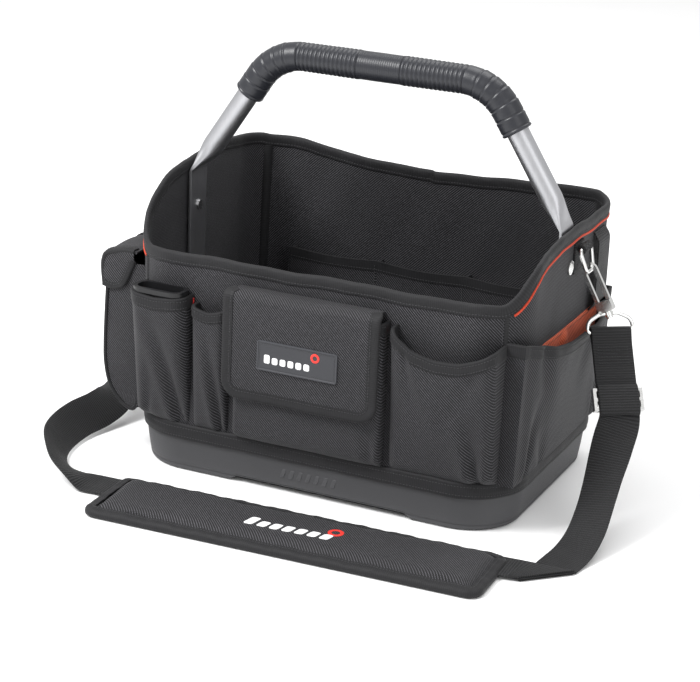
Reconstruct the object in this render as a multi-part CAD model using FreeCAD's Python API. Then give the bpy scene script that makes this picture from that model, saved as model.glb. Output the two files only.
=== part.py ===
import FreeCAD, Part
import os
import math

# Garden tool bag: moulded tub, sewn fabric walls, tubular carrying handle,
# outer and inner pockets, and a detachable shoulder strap with snap hooks.
# Millimetres, +X along the bag's length, front at -Y, +Z up, z = 0 on the
# surface the tub stands on, origin under the middle of the tub.

os.makedirs("parts", exist_ok=True)
V = FreeCAD.Vector

# ---------------------------------------------------------------- dimensions
TUB_H = 37.0            # height of the moulded tub
TUB_BOT = (197.0, 137.0, 55.0)   # half length, half depth, corner radius
TUB_TOP = (201.0, 141.5, 57.0)
TUB_T = 3.0
TUB_FLOOR = 4.0
RELIEF_H = 5.5          # raised middle of the tub's long bottom edges
RELIEF_X = (-88.0, 108.0)
WALL_T = 2.5
WALL_Z0 = 37.0
WALL_Z1 = 300.0
WALL_TOP = (205.0, 139.0, 46.0)
SEAM_X = 187.0          # corner seams between front/back and side panels
FRONT_RIM = 225.0
BIND_T = 1.2            # edge binding
BIND_H = 11.0
PIPE_H = 2.2            # piping under the binding
PIPE_T = 1.6
BAND_Z = (35.0, 50.0)   # sewn trim band over the tub's top edge
BAND_T = 2.4
FAB = 2.0               # pocket fabric with its hem
POCKET_Z0 = 50.05
TUBE_R = 11.0           # handle tube
TUBE_BORE = 9.4
GRIP_R = 15.0
HANDLE_Y = -8.0
HANDLE_TOP = 402.0      # tube centre line
CREASE_Z = 273.0
PLATE_X = 197.9
PLATE_T = 4.0
PLATE_W = 34.0
PLATE_Z0 = 150.0
RIVET_Z = (235.0, 160.0)
STRAP_W = 40.0
STRAP_T = 2.2
RING_Y = 12.5           # strap anchor loops
RING_Z = 251.0
WIRE_R = 2.0

# side rim heights against y, left and right, and back rim against x
RIM_L = [(-200, 223), (-129, 224), (-120, 229), (-108, 241), (-92, 258), (-76, 269), (-58, 277),
         (-27, 284), (20, 287), (60, 288), (118, 284), (200, 282)]
RIM_R = [(-200, 224), (-129, 226), (-121, 236), (-112, 249), (-98, 259), (-75, 265), (-36, 270),
         (16, 272), (56, 271), (100, 272), (140, 275), (200, 276)]
RIM_B = [(-187, 282), (-145, 279), (-97, 272), (-40, 268), (5, 267), (60, 269), (120, 273), (187, 276)]


# ------------------------------------------------------------------- helpers
def save(shape, name):
    shape.exportStep("parts/%s.step" % name)


def box(x0, x1, y0, y1, z0, z1):
    return Part.makeBox(x1 - x0, y1 - y0, z1 - z0, V(x0, y0, z0))


def rr_wire(hx, hy, r, z, cx=0.0, cy=0.0):
    """Rounded rectangle in a level plane."""
    k = r * math.sqrt(0.5)
    P = lambda x, y: V(cx + x, cy + y, z)
    e = []
    e.append(Part.LineSegment(P(-hx + r, -hy), P(hx - r, -hy)).toShape())
    e.append(Part.Arc(P(hx - r, -hy), P(hx - r + k, -hy + r - k), P(hx, -hy + r)).toShape())
    e.append(Part.LineSegment(P(hx, -hy + r), P(hx, hy - r)).toShape())
    e.append(Part.Arc(P(hx, hy - r), P(hx - r + k, hy - r + k), P(hx - r, hy)).toShape())
    e.append(Part.LineSegment(P(hx - r, hy), P(-hx + r, hy)).toShape())
    e.append(Part.Arc(P(-hx + r, hy), P(-hx + r - k, hy - r + k), P(-hx, hy - r)).toShape())
    e.append(Part.LineSegment(P(-hx, hy - r), P(-hx, -hy + r)).toShape())
    e.append(Part.Arc(P(-hx, -hy + r), P(-hx + r - k, -hy + r - k), P(-hx + r, -hy)).toShape())
    return Part.Wire(e)


def rr_prism(hx, hy, r, z0, z1, cx=0.0, cy=0.0):
    return Part.Face(rr_wire(hx, hy, r, z0, cx, cy)).extrude(V(0, 0, z1 - z0))


def loft(wires, ruled=True):
    return Part.makeLoft(wires, True, ruled)


def poly_face(pts):
    return Part.Face(Part.makePolygon([V(*p) for p in pts] + [V(*pts[0])]))


def prism_xz(pts, y0, y1):
    return poly_face([(x, y0, z) for x, z in pts]).extrude(V(0, y1 - y0, 0))


def prism_yz(pts, x0, x1):
    return poly_face([(x0, y, z) for y, z in pts]).extrude(V(x1 - x0, 0, 0))


def prism_xy(pts, z0, z1):
    return poly_face([(x, y, z0) for x, y in pts]).extrude(V(0, 0, z1 - z0))


def unit(v):
    w = V(v)
    w.normalize()
    return w


def solid_of(shape):
    """The one solid of a boolean result, tidied."""
    s = shape.removeSplitter()
    if len(s.Solids) == 1:
        return s.Solids[0]
    return max(s.Solids, key=lambda q: q.Volume)


def offset_poly(pts, d):
    """Offset a closed polygon outward by d (counter-clockwise order)."""
    n = len(pts)
    area = sum(pts[i][0] * pts[(i + 1) % n][1] - pts[(i + 1) % n][0] * pts[i][1] for i in range(n))
    sgn = 1.0 if area > 0 else -1.0
    out = []
    for i in range(n):
        a, b, c = pts[i - 1], pts[i], pts[(i + 1) % n]
        e1 = (b[0] - a[0], b[1] - a[1])
        e2 = (c[0] - b[0], c[1] - b[1])
        l1, l2 = math.hypot(*e1), math.hypot(*e2)
        n1 = (sgn * e1[1] / l1, -sgn * e1[0] / l1)
        n2 = (sgn * e2[1] / l2, -sgn * e2[0] / l2)
        m = (n1[0] + n2[0], n1[1] + n2[1])
        k = d * 2.0 / (m[0] * m[0] + m[1] * m[1])
        out.append((b[0] + m[0] * k, b[1] + m[1] * k))
    return out


def round_path(pts, radii, closed=False):
    """Edges of a path of straight runs joined by arcs."""
    P = [V(*p) for p in pts]
    n = len(P)
    cut = {}
    rng = range(n) if closed else range(1, n - 1)
    for i in rng:
        a, b, c = P[i - 1], P[i], P[(i + 1) % n]
        u, w = unit(a - b), unit(c - b)
        ang = math.acos(max(-1.0, min(1.0, u.dot(w))))
        r = radii[i]
        t = r / math.tan(ang / 2.0)
        m = unit(u + w)
        cen = b + m * (r / math.sin(ang / 2.0))
        cut[i] = (b + u * t, cen - m * r, b + w * t)
    edges = []
    start = cut[0][2] if closed else P[0]
    order = list(range(1, n)) + ([0] if closed else [])
    for i in order:
        if i in cut:
            s, mid, e = cut[i]
            if (s - start).Length > 1e-6:
                edges.append(Part.LineSegment(start, s).toShape())
            edges.append(Part.Arc(s, mid, e).toShape())
            start = e
        else:
            edges.append(Part.LineSegment(start, P[i]).toShape())
            start = P[i]
    return Part.Wire(edges)


def sweep_round(path, r):
    e = path.OrderedEdges[0]
    p = e.valueAt(e.FirstParameter)
    t = e.tangentAt(e.FirstParameter)
    prof = Part.Wire([Part.Circle(p, t, r).toShape()])
    return path.makePipeShell([prof], True, True)


def ribbon(stations, width, thick):
    """Flat webbing through stations of (centre, width direction)."""
    C = [V(*s[0]) for s in stations]
    wires = []
    n = len(C)
    for i, s in enumerate(stations):
        t = unit(C[min(i + 1, n - 1)] - C[max(i - 1, 0)])
        if len(s) > 2:
            t = unit(V(*s[2]))
        w = V(*s[1])
        w = unit(w - t * w.dot(t))
        m = unit(t.cross(w))
        a, b = w * (width / 2.0), m * (thick / 2.0)
        q = [C[i] - a - b, C[i] + a - b, C[i] + a + b, C[i] - a + b]
        wires.append(Part.makePolygon(q + [q[0]]))
    return loft(wires, True)


# ------------------------------------------------------------------- base
tub_outer = loft([rr_wire(*TUB_BOT, 0.0), rr_wire(*TUB_TOP, TUB_H)])
f = TUB_FLOOR / TUB_H
tin0 = [TUB_BOT[i] + (TUB_TOP[i] - TUB_BOT[i]) * f - TUB_T for i in range(3)]
tin1 = [TUB_TOP[i] + (TUB_TOP[i] - TUB_BOT[i]) * 0.1 - TUB_T for i in range(3)]
tub_inner = loft([rr_wire(*tin0, TUB_FLOOR), rr_wire(*tin1, TUB_H * 1.1)])
tub = tub_outer.cut(tub_inner)
for s in (-1, 1):
    y0, y1 = (-145.0, -128.0) if s < 0 else (128.0, 145.0)
    notch = prism_xz([(RELIEF_X[0], -1), (RELIEF_X[1], -1), (RELIEF_X[1], 0.01),
                      (RELIEF_X[1] - 8, RELIEF_H), (RELIEF_X[0] + 10, RELIEF_H), (RELIEF_X[0], 0.01)], y0, y1)
    # the recess keeps 2.5 mm of wall above it by thickening the floor edge
    tub = tub.cut(notch)
rib_keep = None
for s in (-1, 1):
    y0, y1 = (-134.6, -125.0) if s < 0 else (125.0, 134.6)
    pad = box(RELIEF_X[0] - 4, RELIEF_X[1] + 4, y0, y1, TUB_FLOOR - 0.5, RELIEF_H + 3.0)
    notch = prism_xz([(RELIEF_X[0], -1), (RELIEF_X[1], -1), (RELIEF_X[1], 0.01),
                      (RELIEF_X[1] - 8, RELIEF_H), (RELIEF_X[0] + 10, RELIEF_H), (RELIEF_X[0], 0.01)],
                     y0 - 12, y1 + 12)
    keep = pad.common(loft([rr_wire(*TUB_BOT, 0.0), rr_wire(*TUB_TOP, TUB_H)]))
    zone = box(-300, 300, -145, -128, -5, 60) if s < 0 else box(-300, 300, 128, 145, -5, 60)
    keep = keep.cut(notch.common(zone))
    tub = tub.fuse(keep)
tub = solid_of(tub)
save(tub, "base_tub")

# stiffening board lying on the tub's floor, between the raised edges
board = rr_prism(188.0, 123.5, 44.0, TUB_FLOOR, TUB_FLOOR + 3.0)
save(board, "base_board")

# ------------------------------------------------------------------- walls
w0 = list(TUB_TOP)


def wall_at(z, off=0.0):
    k = (z - WALL_Z0) / (WALL_Z1 - WALL_Z0)
    return [w0[i] + (WALL_TOP[i] - w0[i]) * k + off for i in range(3)]


def wall_solid(off, z0=WALL_Z0, z1=WALL_Z1):
    return loft([rr_wire(*wall_at(z0, off), z0), rr_wire(*wall_at(z1, off), z1)])


wall_outer = wall_solid(0.0)
wall_inner = wall_solid(-WALL_T, WALL_Z0 - 2, WALL_Z1 + 2)
wall_inner_tight = wall_solid(-WALL_T - 0.02)
ring = wall_outer.cut(wall_inner)


def below_rim(h):
    """Everything lower than the rim line shifted by h."""
    front = box(-SEAM_X, SEAM_X, -220, 0, 0, FRONT_RIM + h)
    back = prism_xz([(x, z + h) for x, z in RIM_B] + [(SEAM_X, 0), (-SEAM_X, 0)], 0, 220)
    left = prism_yz([(y, z + h) for y, z in RIM_L] + [(200, 0), (-200, 0)], -260, -SEAM_X)
    right = prism_yz([(y, z + h) for y, z in RIM_R] + [(200, 0), (-200, 0)], SEAM_X, 260)
    return front.multiFuse([back, left, right])


B0 = below_rim(0.0)
wall = ring.common(B0)
zones = {
    "front_panel": box(-SEAM_X, SEAM_X, -220, 0, 0, 320),
    "back_panel": box(-SEAM_X, SEAM_X, 0, 220, 0, 320),
    "left_panel": box(-260, -SEAM_X, -220, 220, 0, 320),
    "right_panel": box(SEAM_X, 260, -220, 220, 0, 320),
}
panels = {}
rivet_holes = []
for sx in (-1, 1):
    for z in RIVET_Z:
        rivet_holes.append(Part.makeCylinder(2.5, 30, V(sx * 190 if sx > 0 else -220, HANDLE_Y, z), V(1, 0, 0)))
for name, zn in zones.items():
    p = wall.common(zn)
    if name in ("left_panel", "right_panel"):
        for h in rivet_holes:
            p = p.cut(h)
    panels[name] = solid_of(p)
    save(panels[name], name)

# edge binding over the rim
thick = wall_solid(BIND_T).cut(wall_solid(-WALL_T - BIND_T, WALL_Z0 - 2, WALL_Z1 + 2))
bind = thick.common(below_rim(BIND_T)).cut(below_rim(-BIND_H)).cut(wall)
bind = solid_of(bind)
save(bind, "rim_binding")

# piping let in under the binding of both side panels
pipe_ring = wall_solid(PIPE_T).cut(wall_outer)
piping = pipe_ring.common(below_rim(-BIND_H)).cut(below_rim(-BIND_H - PIPE_H))
save(solid_of(piping.common(zones["left_panel"])), "piping_left")
save(solid_of(piping.common(zones["right_panel"])), "piping_right")

# sewn trim band around the joint of tub and walls
band = rr_prism(w0[0] + BAND_T, w0[1] + BAND_T, w0[2] + BAND_T, BAND_Z[0], BAND_Z[1])
band = solid_of(band.cut(tub_outer).cut(wall_outer))
save(band, "trim_band")


# ----------------------------------------------------------- front pockets
def u_wire(x0, x1, yb, yf, r, z):
    k = r * (1 - math.sqrt(0.5))
    pts = [V(x0, yb, z), V(x0, yf + r, z), V(x0 + r, yf, z), V(x1 - r, yf, z), V(x1, yf + r, z), V(x1, yb, z)]
    e = [Part.LineSegment(pts[0], pts[1]).toShape(),
         Part.Arc(pts[1], V(x0 + k, yf + k, z), pts[2]).toShape(),
         Part.LineSegment(pts[2], pts[3]).toShape(),
         Part.Arc(pts[3], V(x1 - k, yf + k, z), pts[4]).toShape(),
         Part.LineSegment(pts[4], pts[5]).toShape(),
         Part.LineSegment(pts[5], pts[0]).toShape()]
    return Part.Wire(e)


def front_pocket(x0, x1, z1, yf0, yf1, r, mouth=None, yb=-112.0):
    z0 = POCKET_Z0
    zt = z1 if mouth is None else max(z for _, z in mouth) + 1.0

    def yf(z):
        return yf0 + (yf1 - yf0) * (z - z0) / (z1 - z0)
    outer = loft([u_wire(x0, x1, yb, yf(z0), r, z0), u_wire(x0, x1, yb, yf(zt), r, zt)])
    inner = loft([u_wire(x0 + FAB, x1 - FAB, yb, yf(z0 + FAB) + FAB, r - FAB * 0.8, z0 + FAB),
                  u_wire(x0 + FAB, x1 - FAB, yb, yf(zt + 2) + FAB, r - FAB * 0.8, zt + 2)])
    p = outer.cut(inner).cut(wall_outer)
    if mouth:
        above = prism_xz(mouth + [(mouth[-1][0], 320), (mouth[0][0], 320)], -240, -60)
        p = p.cut(above)
    return solid_of(p)


knife_pocket = front_pocket(-189.0, -130.0, 186.0, -149.0, -165.0, 12.0)
save(knife_pocket, "knife_pocket")
narrow_pocket = front_pocket(-125.0, -88.0, 178.0, -147.0, -156.0, 7.0)
save(narrow_pocket, "narrow_pocket")
flap_pocket = front_pocket(-78.0, 77.0, 196.0, -157.5, -157.5, 5.0)
save(flap_pocket, "flap_pocket")
right_pocket = front_pocket(84.0, 188.0, 180.0, -147.0, -158.0, 9.0,
                            mouth=[(80, 197), (92, 188), (108, 177), (130, 172), (155, 173), (174, 180), (192, 190)])
save(right_pocket, "front_right_pocket")

# rigid holster ring set in the knife pocket's mouth
hr_o = rr_prism(26.0, 11.6, 10.5, 176.0, 190.0, -159.5, -151.6)
lip = rr_prism(27.6, 13.4, 12.0, 187.0, 191.5, -159.5, -151.9)
hr_i = rr_prism(23.8, 9.4, 8.4, 170.0, 200.0, -159.5, -151.6)
holster = solid_of(hr_o.fuse(lip).cut(hr_i).cut(wall_solid(0.3)).cut(knife_pocket))
save(holster, "holster_ring")

# flap, its grip strips and the label
flap_prof = [(-140.9, 205.0), (-157.5, 204.0), (-161.5, 201.6), (-163.0, 197.5), (-163.0, 99.0),
             (-161.0, 99.0), (-161.0, 196.8), (-160.0, 199.8), (-157.0, 202.0), (-140.9, 203.0)]
flap = prism_yz(flap_prof, -85.0, 80.0)
flap_mask_w = round_path([(-85, -200, 99), (80, -200, 99), (80, -200, 230), (-85, -200, 230)],
                         [18, 18, 0.5, 0.5], closed=True)
flap = solid_of(flap.common(Part.Face(flap_mask_w).extrude(V(0, 80, 0))))
save(flap, "front_flap")
save(box(-40.0, 30.0, -158.5, -157.5, 112.0, 128.0), "pocket_loop_strip")
save(box(-40.0, 30.0, -161.0, -160.0, 112.0, 128.0), "flap_hook_strip")
label_w = round_path([(-48, -163, 132), (36, -163, 132), (36, -163, 162), (-48, -163, 162)],
                     [2.5, 2.5, 2.5, 2.5], closed=True)
label = Part.Face(label_w).extrude(V(0, -1.8, 0))
recess_w = round_path([(-46, -163, 134), (34, -163, 134), (34, -163, 160), (-46, -163, 160)],
                      [1.5, 1.5, 1.5, 1.5], closed=True)
recess = Part.Face(recess_w).extrude(V(0, -5, 0))
recess.translate(V(0, -1.2, 0))
save(solid_of(label.cut(recess)), "label_patch")

# sewn bar tacks at the pockets' mouths
tacks = [box(80.4, 81.9, -141.6, -139.0, 178, 192), box(-129.3, -127.8, -143.0, -139.0, 176, 184),
         box(-86.2, -84.7, -143.0, -139.0, 168, 176)]
tk = []
for t in tacks:
    t = t.cut(wall_outer)
    tk.append(solid_of(t))
save(Part.makeCompound(tk), "bar_tacks")

# ----------------------------------------------------------- right side pocket
bot = [(188, -126), (204, -126), (204.3, -90), (204.6, -40), (204.6, 40), (204.3, 90), (204, 126), (188, 126)]
top = [(188, -126), (206, -126), (217, -96), (224.5, -45), (224.5, 45), (217, 96), (206, 126), (188, 126)]
ib = [(188, -124), (202.2, -124), (202.3, -89), (202.6, -40), (202.6, 40), (202.3, 89), (202.2, 124), (188, 124)]
it = [(188, -124), (204.6, -124), (215.1, -94.8), (222.5, -44), (222.5, 44), (215.1, 94.8), (204.6, 124), (188, 124)]


def ring_wire(pts, z):
    return Part.makePolygon([V(x, y, z) for x, y in pts] + [V(pts[0][0], pts[0][1], z)])


sp_o = loft([ring_wire(bot, POCKET_Z0), ring_wire(top, 195.0)])
sp_i = loft([ring_wire(ib, POCKET_Z0 + 2.0), ring_wire(it, 197.0)])
mouth_r = [(-130, 191), (-112, 187), (-92, 181), (-60, 174), (-20, 168), (40, 166), (90, 170), (130, 182)]
sp_cut = prism_yz(mouth_r + [(130, 320), (-130, 320)], 150, 260)
side_pocket = solid_of(sp_o.cut(sp_i).cut(wall_outer).cut(sp_cut))
side_pocket = solid_of(side_pocket.cut(right_pocket))
save(side_pocket, "side_pocket_right")
lining = wall_solid(0.9).cut(wall_outer).common(box(195, 260, -92, 92, 120, 174))
for h in rivet_holes:
    lining = lining.cut(h)
lining = solid_of(lining.cut(Part.makeCylinder(7.6, 40, V(190, HANDLE_Y, RIVET_Z[1]), V(1, 0, 0))))
save(lining, "side_pocket_lining")

# ----------------------------------------------------------- left side pouch
PY0, PY1 = -118.0, -48.0
pouch_o = [(-186, 52), (-203.8, 52), (-207.5, 45.0), (-214, 47.0), (-225, 55.5), (-234.5, 69), (-239.4, 91),
           (-239.6, 112), (-238.6, 150), (-236.5, 198), (-186, 198)]
pouch_i = [(-186, 54.5), (-205.0, 54.5), (-208.5, 47.6), (-213.2, 49.1), (-223.6, 57.1), (-232.6, 69.8), (-237.3, 91.3),
           (-237.5, 112), (-236.5, 150), (-234.4, 200), (-186, 200)]
pouch = prism_xz(pouch_o, PY0, PY1).cut(prism_xz(pouch_i, PY0 + FAB, PY1 - FAB)).cut(wall_outer).cut(knife_pocket)
pouch = solid_of(pouch)
save(pouch, "side_pouch_left")
edge_line = [(-204.5, 198), (-204.5, 52.5), (-207.5, 45.0), (-214, 47.0), (-225, 55.5), (-234.5, 69), (-239.4, 91),
             (-239.6, 112), (-238.6, 150), (-236.5, 198)]
outer_e = offset_poly(edge_line, 1.4)
inner_e = offset_poly(edge_line, -1.6)
pp = []
for y0, y1 in ((PY0 - 1.6, PY0), (PY1, PY1 + 1.6)):
    q = prism_xz(outer_e, y0, y1).cut(prism_xz(inner_e, y0 - 1, y1 + 1)).cut(box(-207.5, -180, -200, 200, 0, 300))
    q = q.cut(box(-300, -180, -200, 200, 198, 300))
    pp.append(solid_of(q))
save(Part.makeCompound(pp), "pouch_edge_binding")
lid_prof = [(-205.9, 211.0), (-232.6, 208.9), (-240.0, 205.6), (-242.4, 200.0), (-242.4, 172.0), (-240.2, 172.0),
            (-240.2, 199.4), (-238.6, 203.6), (-232.0, 206.5), (-205.9, 208.6)]
lid = prism_xz(lid_prof, PY0 - 2.0, PY1 + 2.0)
gusset = [(-206.6, 208.7), (-232.0, 206.6), (-238.6, 203.6), (-242.3, 199.0), (-242.3, 172.0), (-236.0, 168.5), (-224.0, 170.0),
          (-217.5, 176.0), (-214.0, 188.0), (-206.6, 197.5)]
for y0, y1 in ((PY0 - 4.0, PY0 - 2.0), (PY1 + 2.0, PY1 + 4.0)):
    g = prism_xz(gusset, y0, y1)
    lid = lid.fuse(g).fuse(prism_xz(lid_prof, y0, y1))
save(solid_of(lid), "pouch_lid")
save(solid_of(box(-238.7, -236.9, -105.0, -61.0, 176.0, 188.0).cut(pouch)), "pouch_loop_strip")
save(box(-240.2, -239.4, -105.0, -61.0, 176.0, 188.0), "lid_hook_strip")

# ----------------------------------------------------------- back pocket
def back_pocket(x0, x1, mouth, yf0, yf1, r):
    """Front pocket form turned half way round."""
    p = None
    z0 = POCKET_Z0
    zt = max(z for _, z in mouth) + 1.0

    def yf(z):
        return -(yf0 + (yf1 - yf0) * (z - z0) / (zt - z0))
    outer = loft([u_wire(x0, x1, -112, yf(z0), r, z0), u_wire(x0, x1, -112, yf(zt), r, zt)])
    inner = loft([u_wire(x0 + FAB, x1 - FAB, -112, yf(z0 + FAB) + FAB, r - FAB * 0.8, z0 + FAB),
                  u_wire(x0 + FAB, x1 - FAB, -112, yf(zt + 2) + FAB, r - FAB * 0.8, zt + 2)])
    p = outer.cut(inner)
    above = prism_xz(mouth + [(mouth[-1][0], 320), (mouth[0][0], 320)], -240, -60)
    p = p.cut(above)
    p.rotate(V(0, 0, 0), V(0, 0, 1), 180)
    return solid_of(p.cut(wall_outer))


back_p = back_pocket(-150.0, 150.0, [(-160, 186), (-90, 181), (0, 178), (90, 181), (160, 186)], 147.5, 155.0, 9.0)
save(back_p, "back_pocket")

# ----------------------------------------------------------- inside pockets
IP_Y = 119.0
comb = [box(-152, 152, IP_Y, IP_Y + FAB, 42.0, 165.0)]
for x in (-151.0, -50.0, 50.0, 151.0):
    comb.append(box(x - 1.0, x + 1.0, IP_Y + 0.5, 145.0, 42.0, 165.0))
comb = comb[0].multiFuse(comb[1:]).common(wall_inner_tight)
save(solid_of(comb), "inner_pocket_back")

LOOP_X = (-112.0, -56.0, 0.0, 56.0, 112.0)
LOOP_Z = (150.0, 188.0)
loops = []
yw = -136.9
for x in LOOP_X:
    o = Part.makeCylinder(18.0, LOOP_Z[1] - LOOP_Z[0], V(x, yw, LOOP_Z[0]))
    i = Part.makeCylinder(16.4, LOOP_Z[1] - LOOP_Z[0] + 2, V(x, yw, LOOP_Z[0] - 1))
    loops.append(o.cut(i))
xs = [-150.0] + list(LOOP_X) + [150.0]
for a, b in zip(xs[:-1], xs[1:]):
    x0 = a + (17.2 if a in LOOP_X else 0.0)
    x1 = b - (17.2 if b in LOOP_X else 0.0)
    loops.append(box(x0, x1, -139.0, -135.3, LOOP_Z[0], LOOP_Z[1]))
lp = loops[0].multiFuse(loops[1:]).common(wall_inner_tight)
save(solid_of(lp), "inner_loops_front")

# ----------------------------------------------------------- handle
pts = [(-PLATE_X, HANDLE_Y, CREASE_Z), (-114.0, HANDLE_Y, HANDLE_TOP), (114.0, HANDLE_Y, HANDLE_TOP),
       (PLATE_X, HANDLE_Y, CREASE_Z)]
d = unit(V(*pts[1]) - V(*pts[0]))
TR = 34.0               # length over which the tube is flattened
pts_t = [tuple(V(*pts[0]) + d * TR), pts[1], pts[2], tuple(V(*pts[3]) + V(-d.x, 0, d.z) * TR)]
path = round_path(pts_t, [0, 56.0, 56.0, 0])
tube = sweep_round(path, TUBE_R).cut(sweep_round(path, TUBE_BORE))
tube = solid_of(tube)
save(tube, "handle_tube")
N_END = 28
handle_ends = {}
for s, side in ((-1, "left"), (1, "right")):
    dd = V(-s * abs(d.x), 0, d.z)
    p0 = V(s * PLATE_X, HANDLE_Y, CREASE_Z)
    p1 = p0 + dd * TR
    across = unit(dd.cross(V(0, 1, 0)))
    flat, rnd = [], []
    for k in range(N_END):
        a = 2 * math.pi * (k + 0.5) / N_END
        cy, cx = math.cos(a), math.sin(a)
        fx = math.copysign(abs(cx) ** 0.3, cx) * PLATE_T / 2.0
        flat.append(p0 + V(0, cy * PLATE_W / 2.0, 0) + V(fx * (1 if across.x > 0 else -1), 0, 0))
        rnd.append(p1 + V(0, cy * TUBE_R, 0) + across * (cx * TUBE_R))
    wf = Part.makePolygon(flat + [flat[0]])
    wr = Part.makePolygon(rnd + [rnd[0]])
    taper = loft([wf, wr])
    plate = Part.Face(wf).extrude(V(0, 0, PLATE_Z0 - CREASE_Z))
    e = taper.fuse(plate)
    for h in rivet_holes:
        e = e.cut(h)
    handle_ends[side] = solid_of(e)
    save(handle_ends[side], "handle_end_" + side)

G0 = 103.0              # grip starts this far above the crease, along the leg
pts_g = [tuple(V(*pts[0]) + d * G0), pts[1], pts[2], tuple(V(*pts[3]) + V(-d.x, 0, d.z) * G0)]
gpath = round_path(pts_g, [0, 56.0, 56.0, 0])
grip = sweep_round(gpath, GRIP_R).cut(sweep_round(gpath, TUBE_R))
grip = solid_of(grip)
save(grip, "handle_grip")

# rivets that hold the flattened ends to the side panels
riv = []
for sx in (-1, 1):
    for z in RIVET_Z:
        xo = wall_at(z)[0]
        a = Part.makeCylinder(2.5, 11.0, V(sx * 195.0, HANDLE_Y, z), V(sx, 0, 0))
        b = Part.makeCylinder(7.0, 1.9, V(sx * (xo + 0.02), HANDLE_Y, z), V(sx, 0, 0))
        c = Part.makeCylinder(5.0, 1.7, V(sx * (PLATE_X - PLATE_T / 2.0), HANDLE_Y, z), V(-sx, 0, 0))
        q = a.fuse(b).fuse(c).cut(panels["left_panel" if sx < 0 else "right_panel"]).cut(handle_ends["left" if sx < 0 else "right"])
        riv.append(solid_of(q))
save(Part.makeCompound(riv), "handle_rivets")

# ----------------------------------------------------------- strap anchors
for s, side in ((-1, "left"), (1, "right")):
    xo = wall_at(251.0)[0]
    tab = box(204.0, 206.4, RING_Y - 12.5, RING_Y + 12.5, 226.0, 256.0)
    if s < 0:
        tab = tab.mirror(V(0, 0, 0), V(1, 0, 0))
    save(solid_of(tab.cut(wall_outer)), "anchor_tab_" + side)

TOP_X = 211.6
for s, side in ((-1, "left"), (1, "right")):
    sl = Part.makeCylinder(4.6, 22.0, V(TOP_X, RING_Y - 11.0, RING_Z), V(0, 1, 0))
    sl = sl.cut(Part.makeCylinder(2.02, 27.0, V(TOP_X, RING_Y - 13.5, RING_Z), V(0, 1, 0)))
    if s < 0:
        sl = sl.mirror(V(0, 0, 0), V(1, 0, 0))
    save(sl, "anchor_sleeve_" + side)
    low_x = 218.0
    tl = (low_x - TOP_X) / 22.0
    rp = [(TOP_X, RING_Y - 16.0, RING_Z), (TOP_X, RING_Y + 16.0, RING_Z),
          (low_x, RING_Y + 9.0, RING_Z - 22.0), (low_x, RING_Y - 9.0, RING_Z - 22.0)]
    w = round_path(rp, [3.4, 3.4, 6.5, 6.5], closed=True)
    rg = sweep_round(w, WIRE_R)
    if s < 0:
        rg = rg.mirror(V(0, 0, 0), V(1, 0, 0))
    save(rg, "d_ring_" + side)


# ----------------------------------------------------------- snap hooks
def local(origin, d, t):
    """Place a shape drawn in (s, t) = (x, y) with thickness along z."""
    n = d.cross(t)
    m = FreeCAD.Matrix(d.x, t.x, n.x, origin.x, d.y, t.y, n.y, origin.y, d.z, t.z, n.z, origin.z, 0, 0, 0, 1)
    return m


def hook_parts(T, E):
    """Snap hook whose bow centre is T, pointing down to E."""
    dv = unit(E - T)
    tv = unit(V(1 if T.x > 0 else -1, 0, 0) - dv * (dv.x * (1 if T.x > 0 else -1)))
    M = local(T, dv, tv)
    bow = Part.makeCylinder(8.0, 4.0, V(0, 0, -2)).cut(Part.makeCylinder(4.0, 6.0, V(0, 0, -3)))
    bow = bow.common(box(-9, 0, -9, 9, -3, 3)).fuse(box(-0.2, 2.1, -8.0, -4.0, -2, 2))
    spine = box(0, 34, 4, 8, -2, 2)
    block = box(32, 42.6, -8.0, 8.0, -4.2, 4.2).cut(box(31, 38.6, -9.0, -3.6, -2.4, 2.4))
    shaft = Part.makeCylinder(1.9, 8.0, V(41.6, 0, 0), V(1, 0, 0))
    head = Part.makeCylinder(3.3, 2.0, V(47.9, 0, 0), V(1, 0, 0))
    pin = Part.makeCylinder(1.3, 8.4, V(35.4, -6.0, -4.2))
    hook = bow.multiFuse([spine, block, shaft, head, pin])
    hook = solid_of(hook)
    gate = box(2.5, 36.5, -7.7, -4.4, -1.9, 1.9)
    g_hub = Part.makeCylinder(2.0, 3.8, V(35.4, -6.0, -1.9))
    gate = gate.fuse(g_hub).cut(Part.makeCylinder(1.4, 9.0, V(35.4, -6.0, -4.5)))
    gate = solid_of(gate)
    hook.transformShape(M)
    gate.transformShape(M)
    return hook, gate, dv, tv


def half_ring(T, dv, Bc, wdir):
    """Half-round ring with a boss that turns on the hook's shaft."""
    apex = T + dv * 45.25
    up = apex - Bc
    w = unit(wdir - up * (wdir.dot(up) / up.dot(up)))
    H = up.Length
    u = unit(up)
    P = lambda a, b: tuple(Bc + w * a + u * b)
    pts = [P(-23.5, 0), P(23.5, 0), P(21.5, H * 0.62), P(9.0, H), P(-9.0, H), P(-21.5, H * 0.62)]
    wire = round_path(pts, [3.2, 3.2, 9.0, 9.0, 9.0, 9.0], closed=True)
    r = sweep_round(wire, WIRE_R)
    b0 = T + dv * 43.0
    boss = Part.makeCylinder(4.2, 4.5, b0, dv)
    clear_head = Part.makeCylinder(3.7, 4.0, T + dv * 47.5, dv)
    clear_block = Part.makeCylinder(9.5, 6.0, T + dv * 37.0, dv)
    hole = Part.makeCylinder(2.0, 14.0, T + dv * 38.0, dv)
    r = r.fuse(boss).cut(hole).cut(clear_head).cut(clear_block)
    return solid_of(r), w


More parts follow.
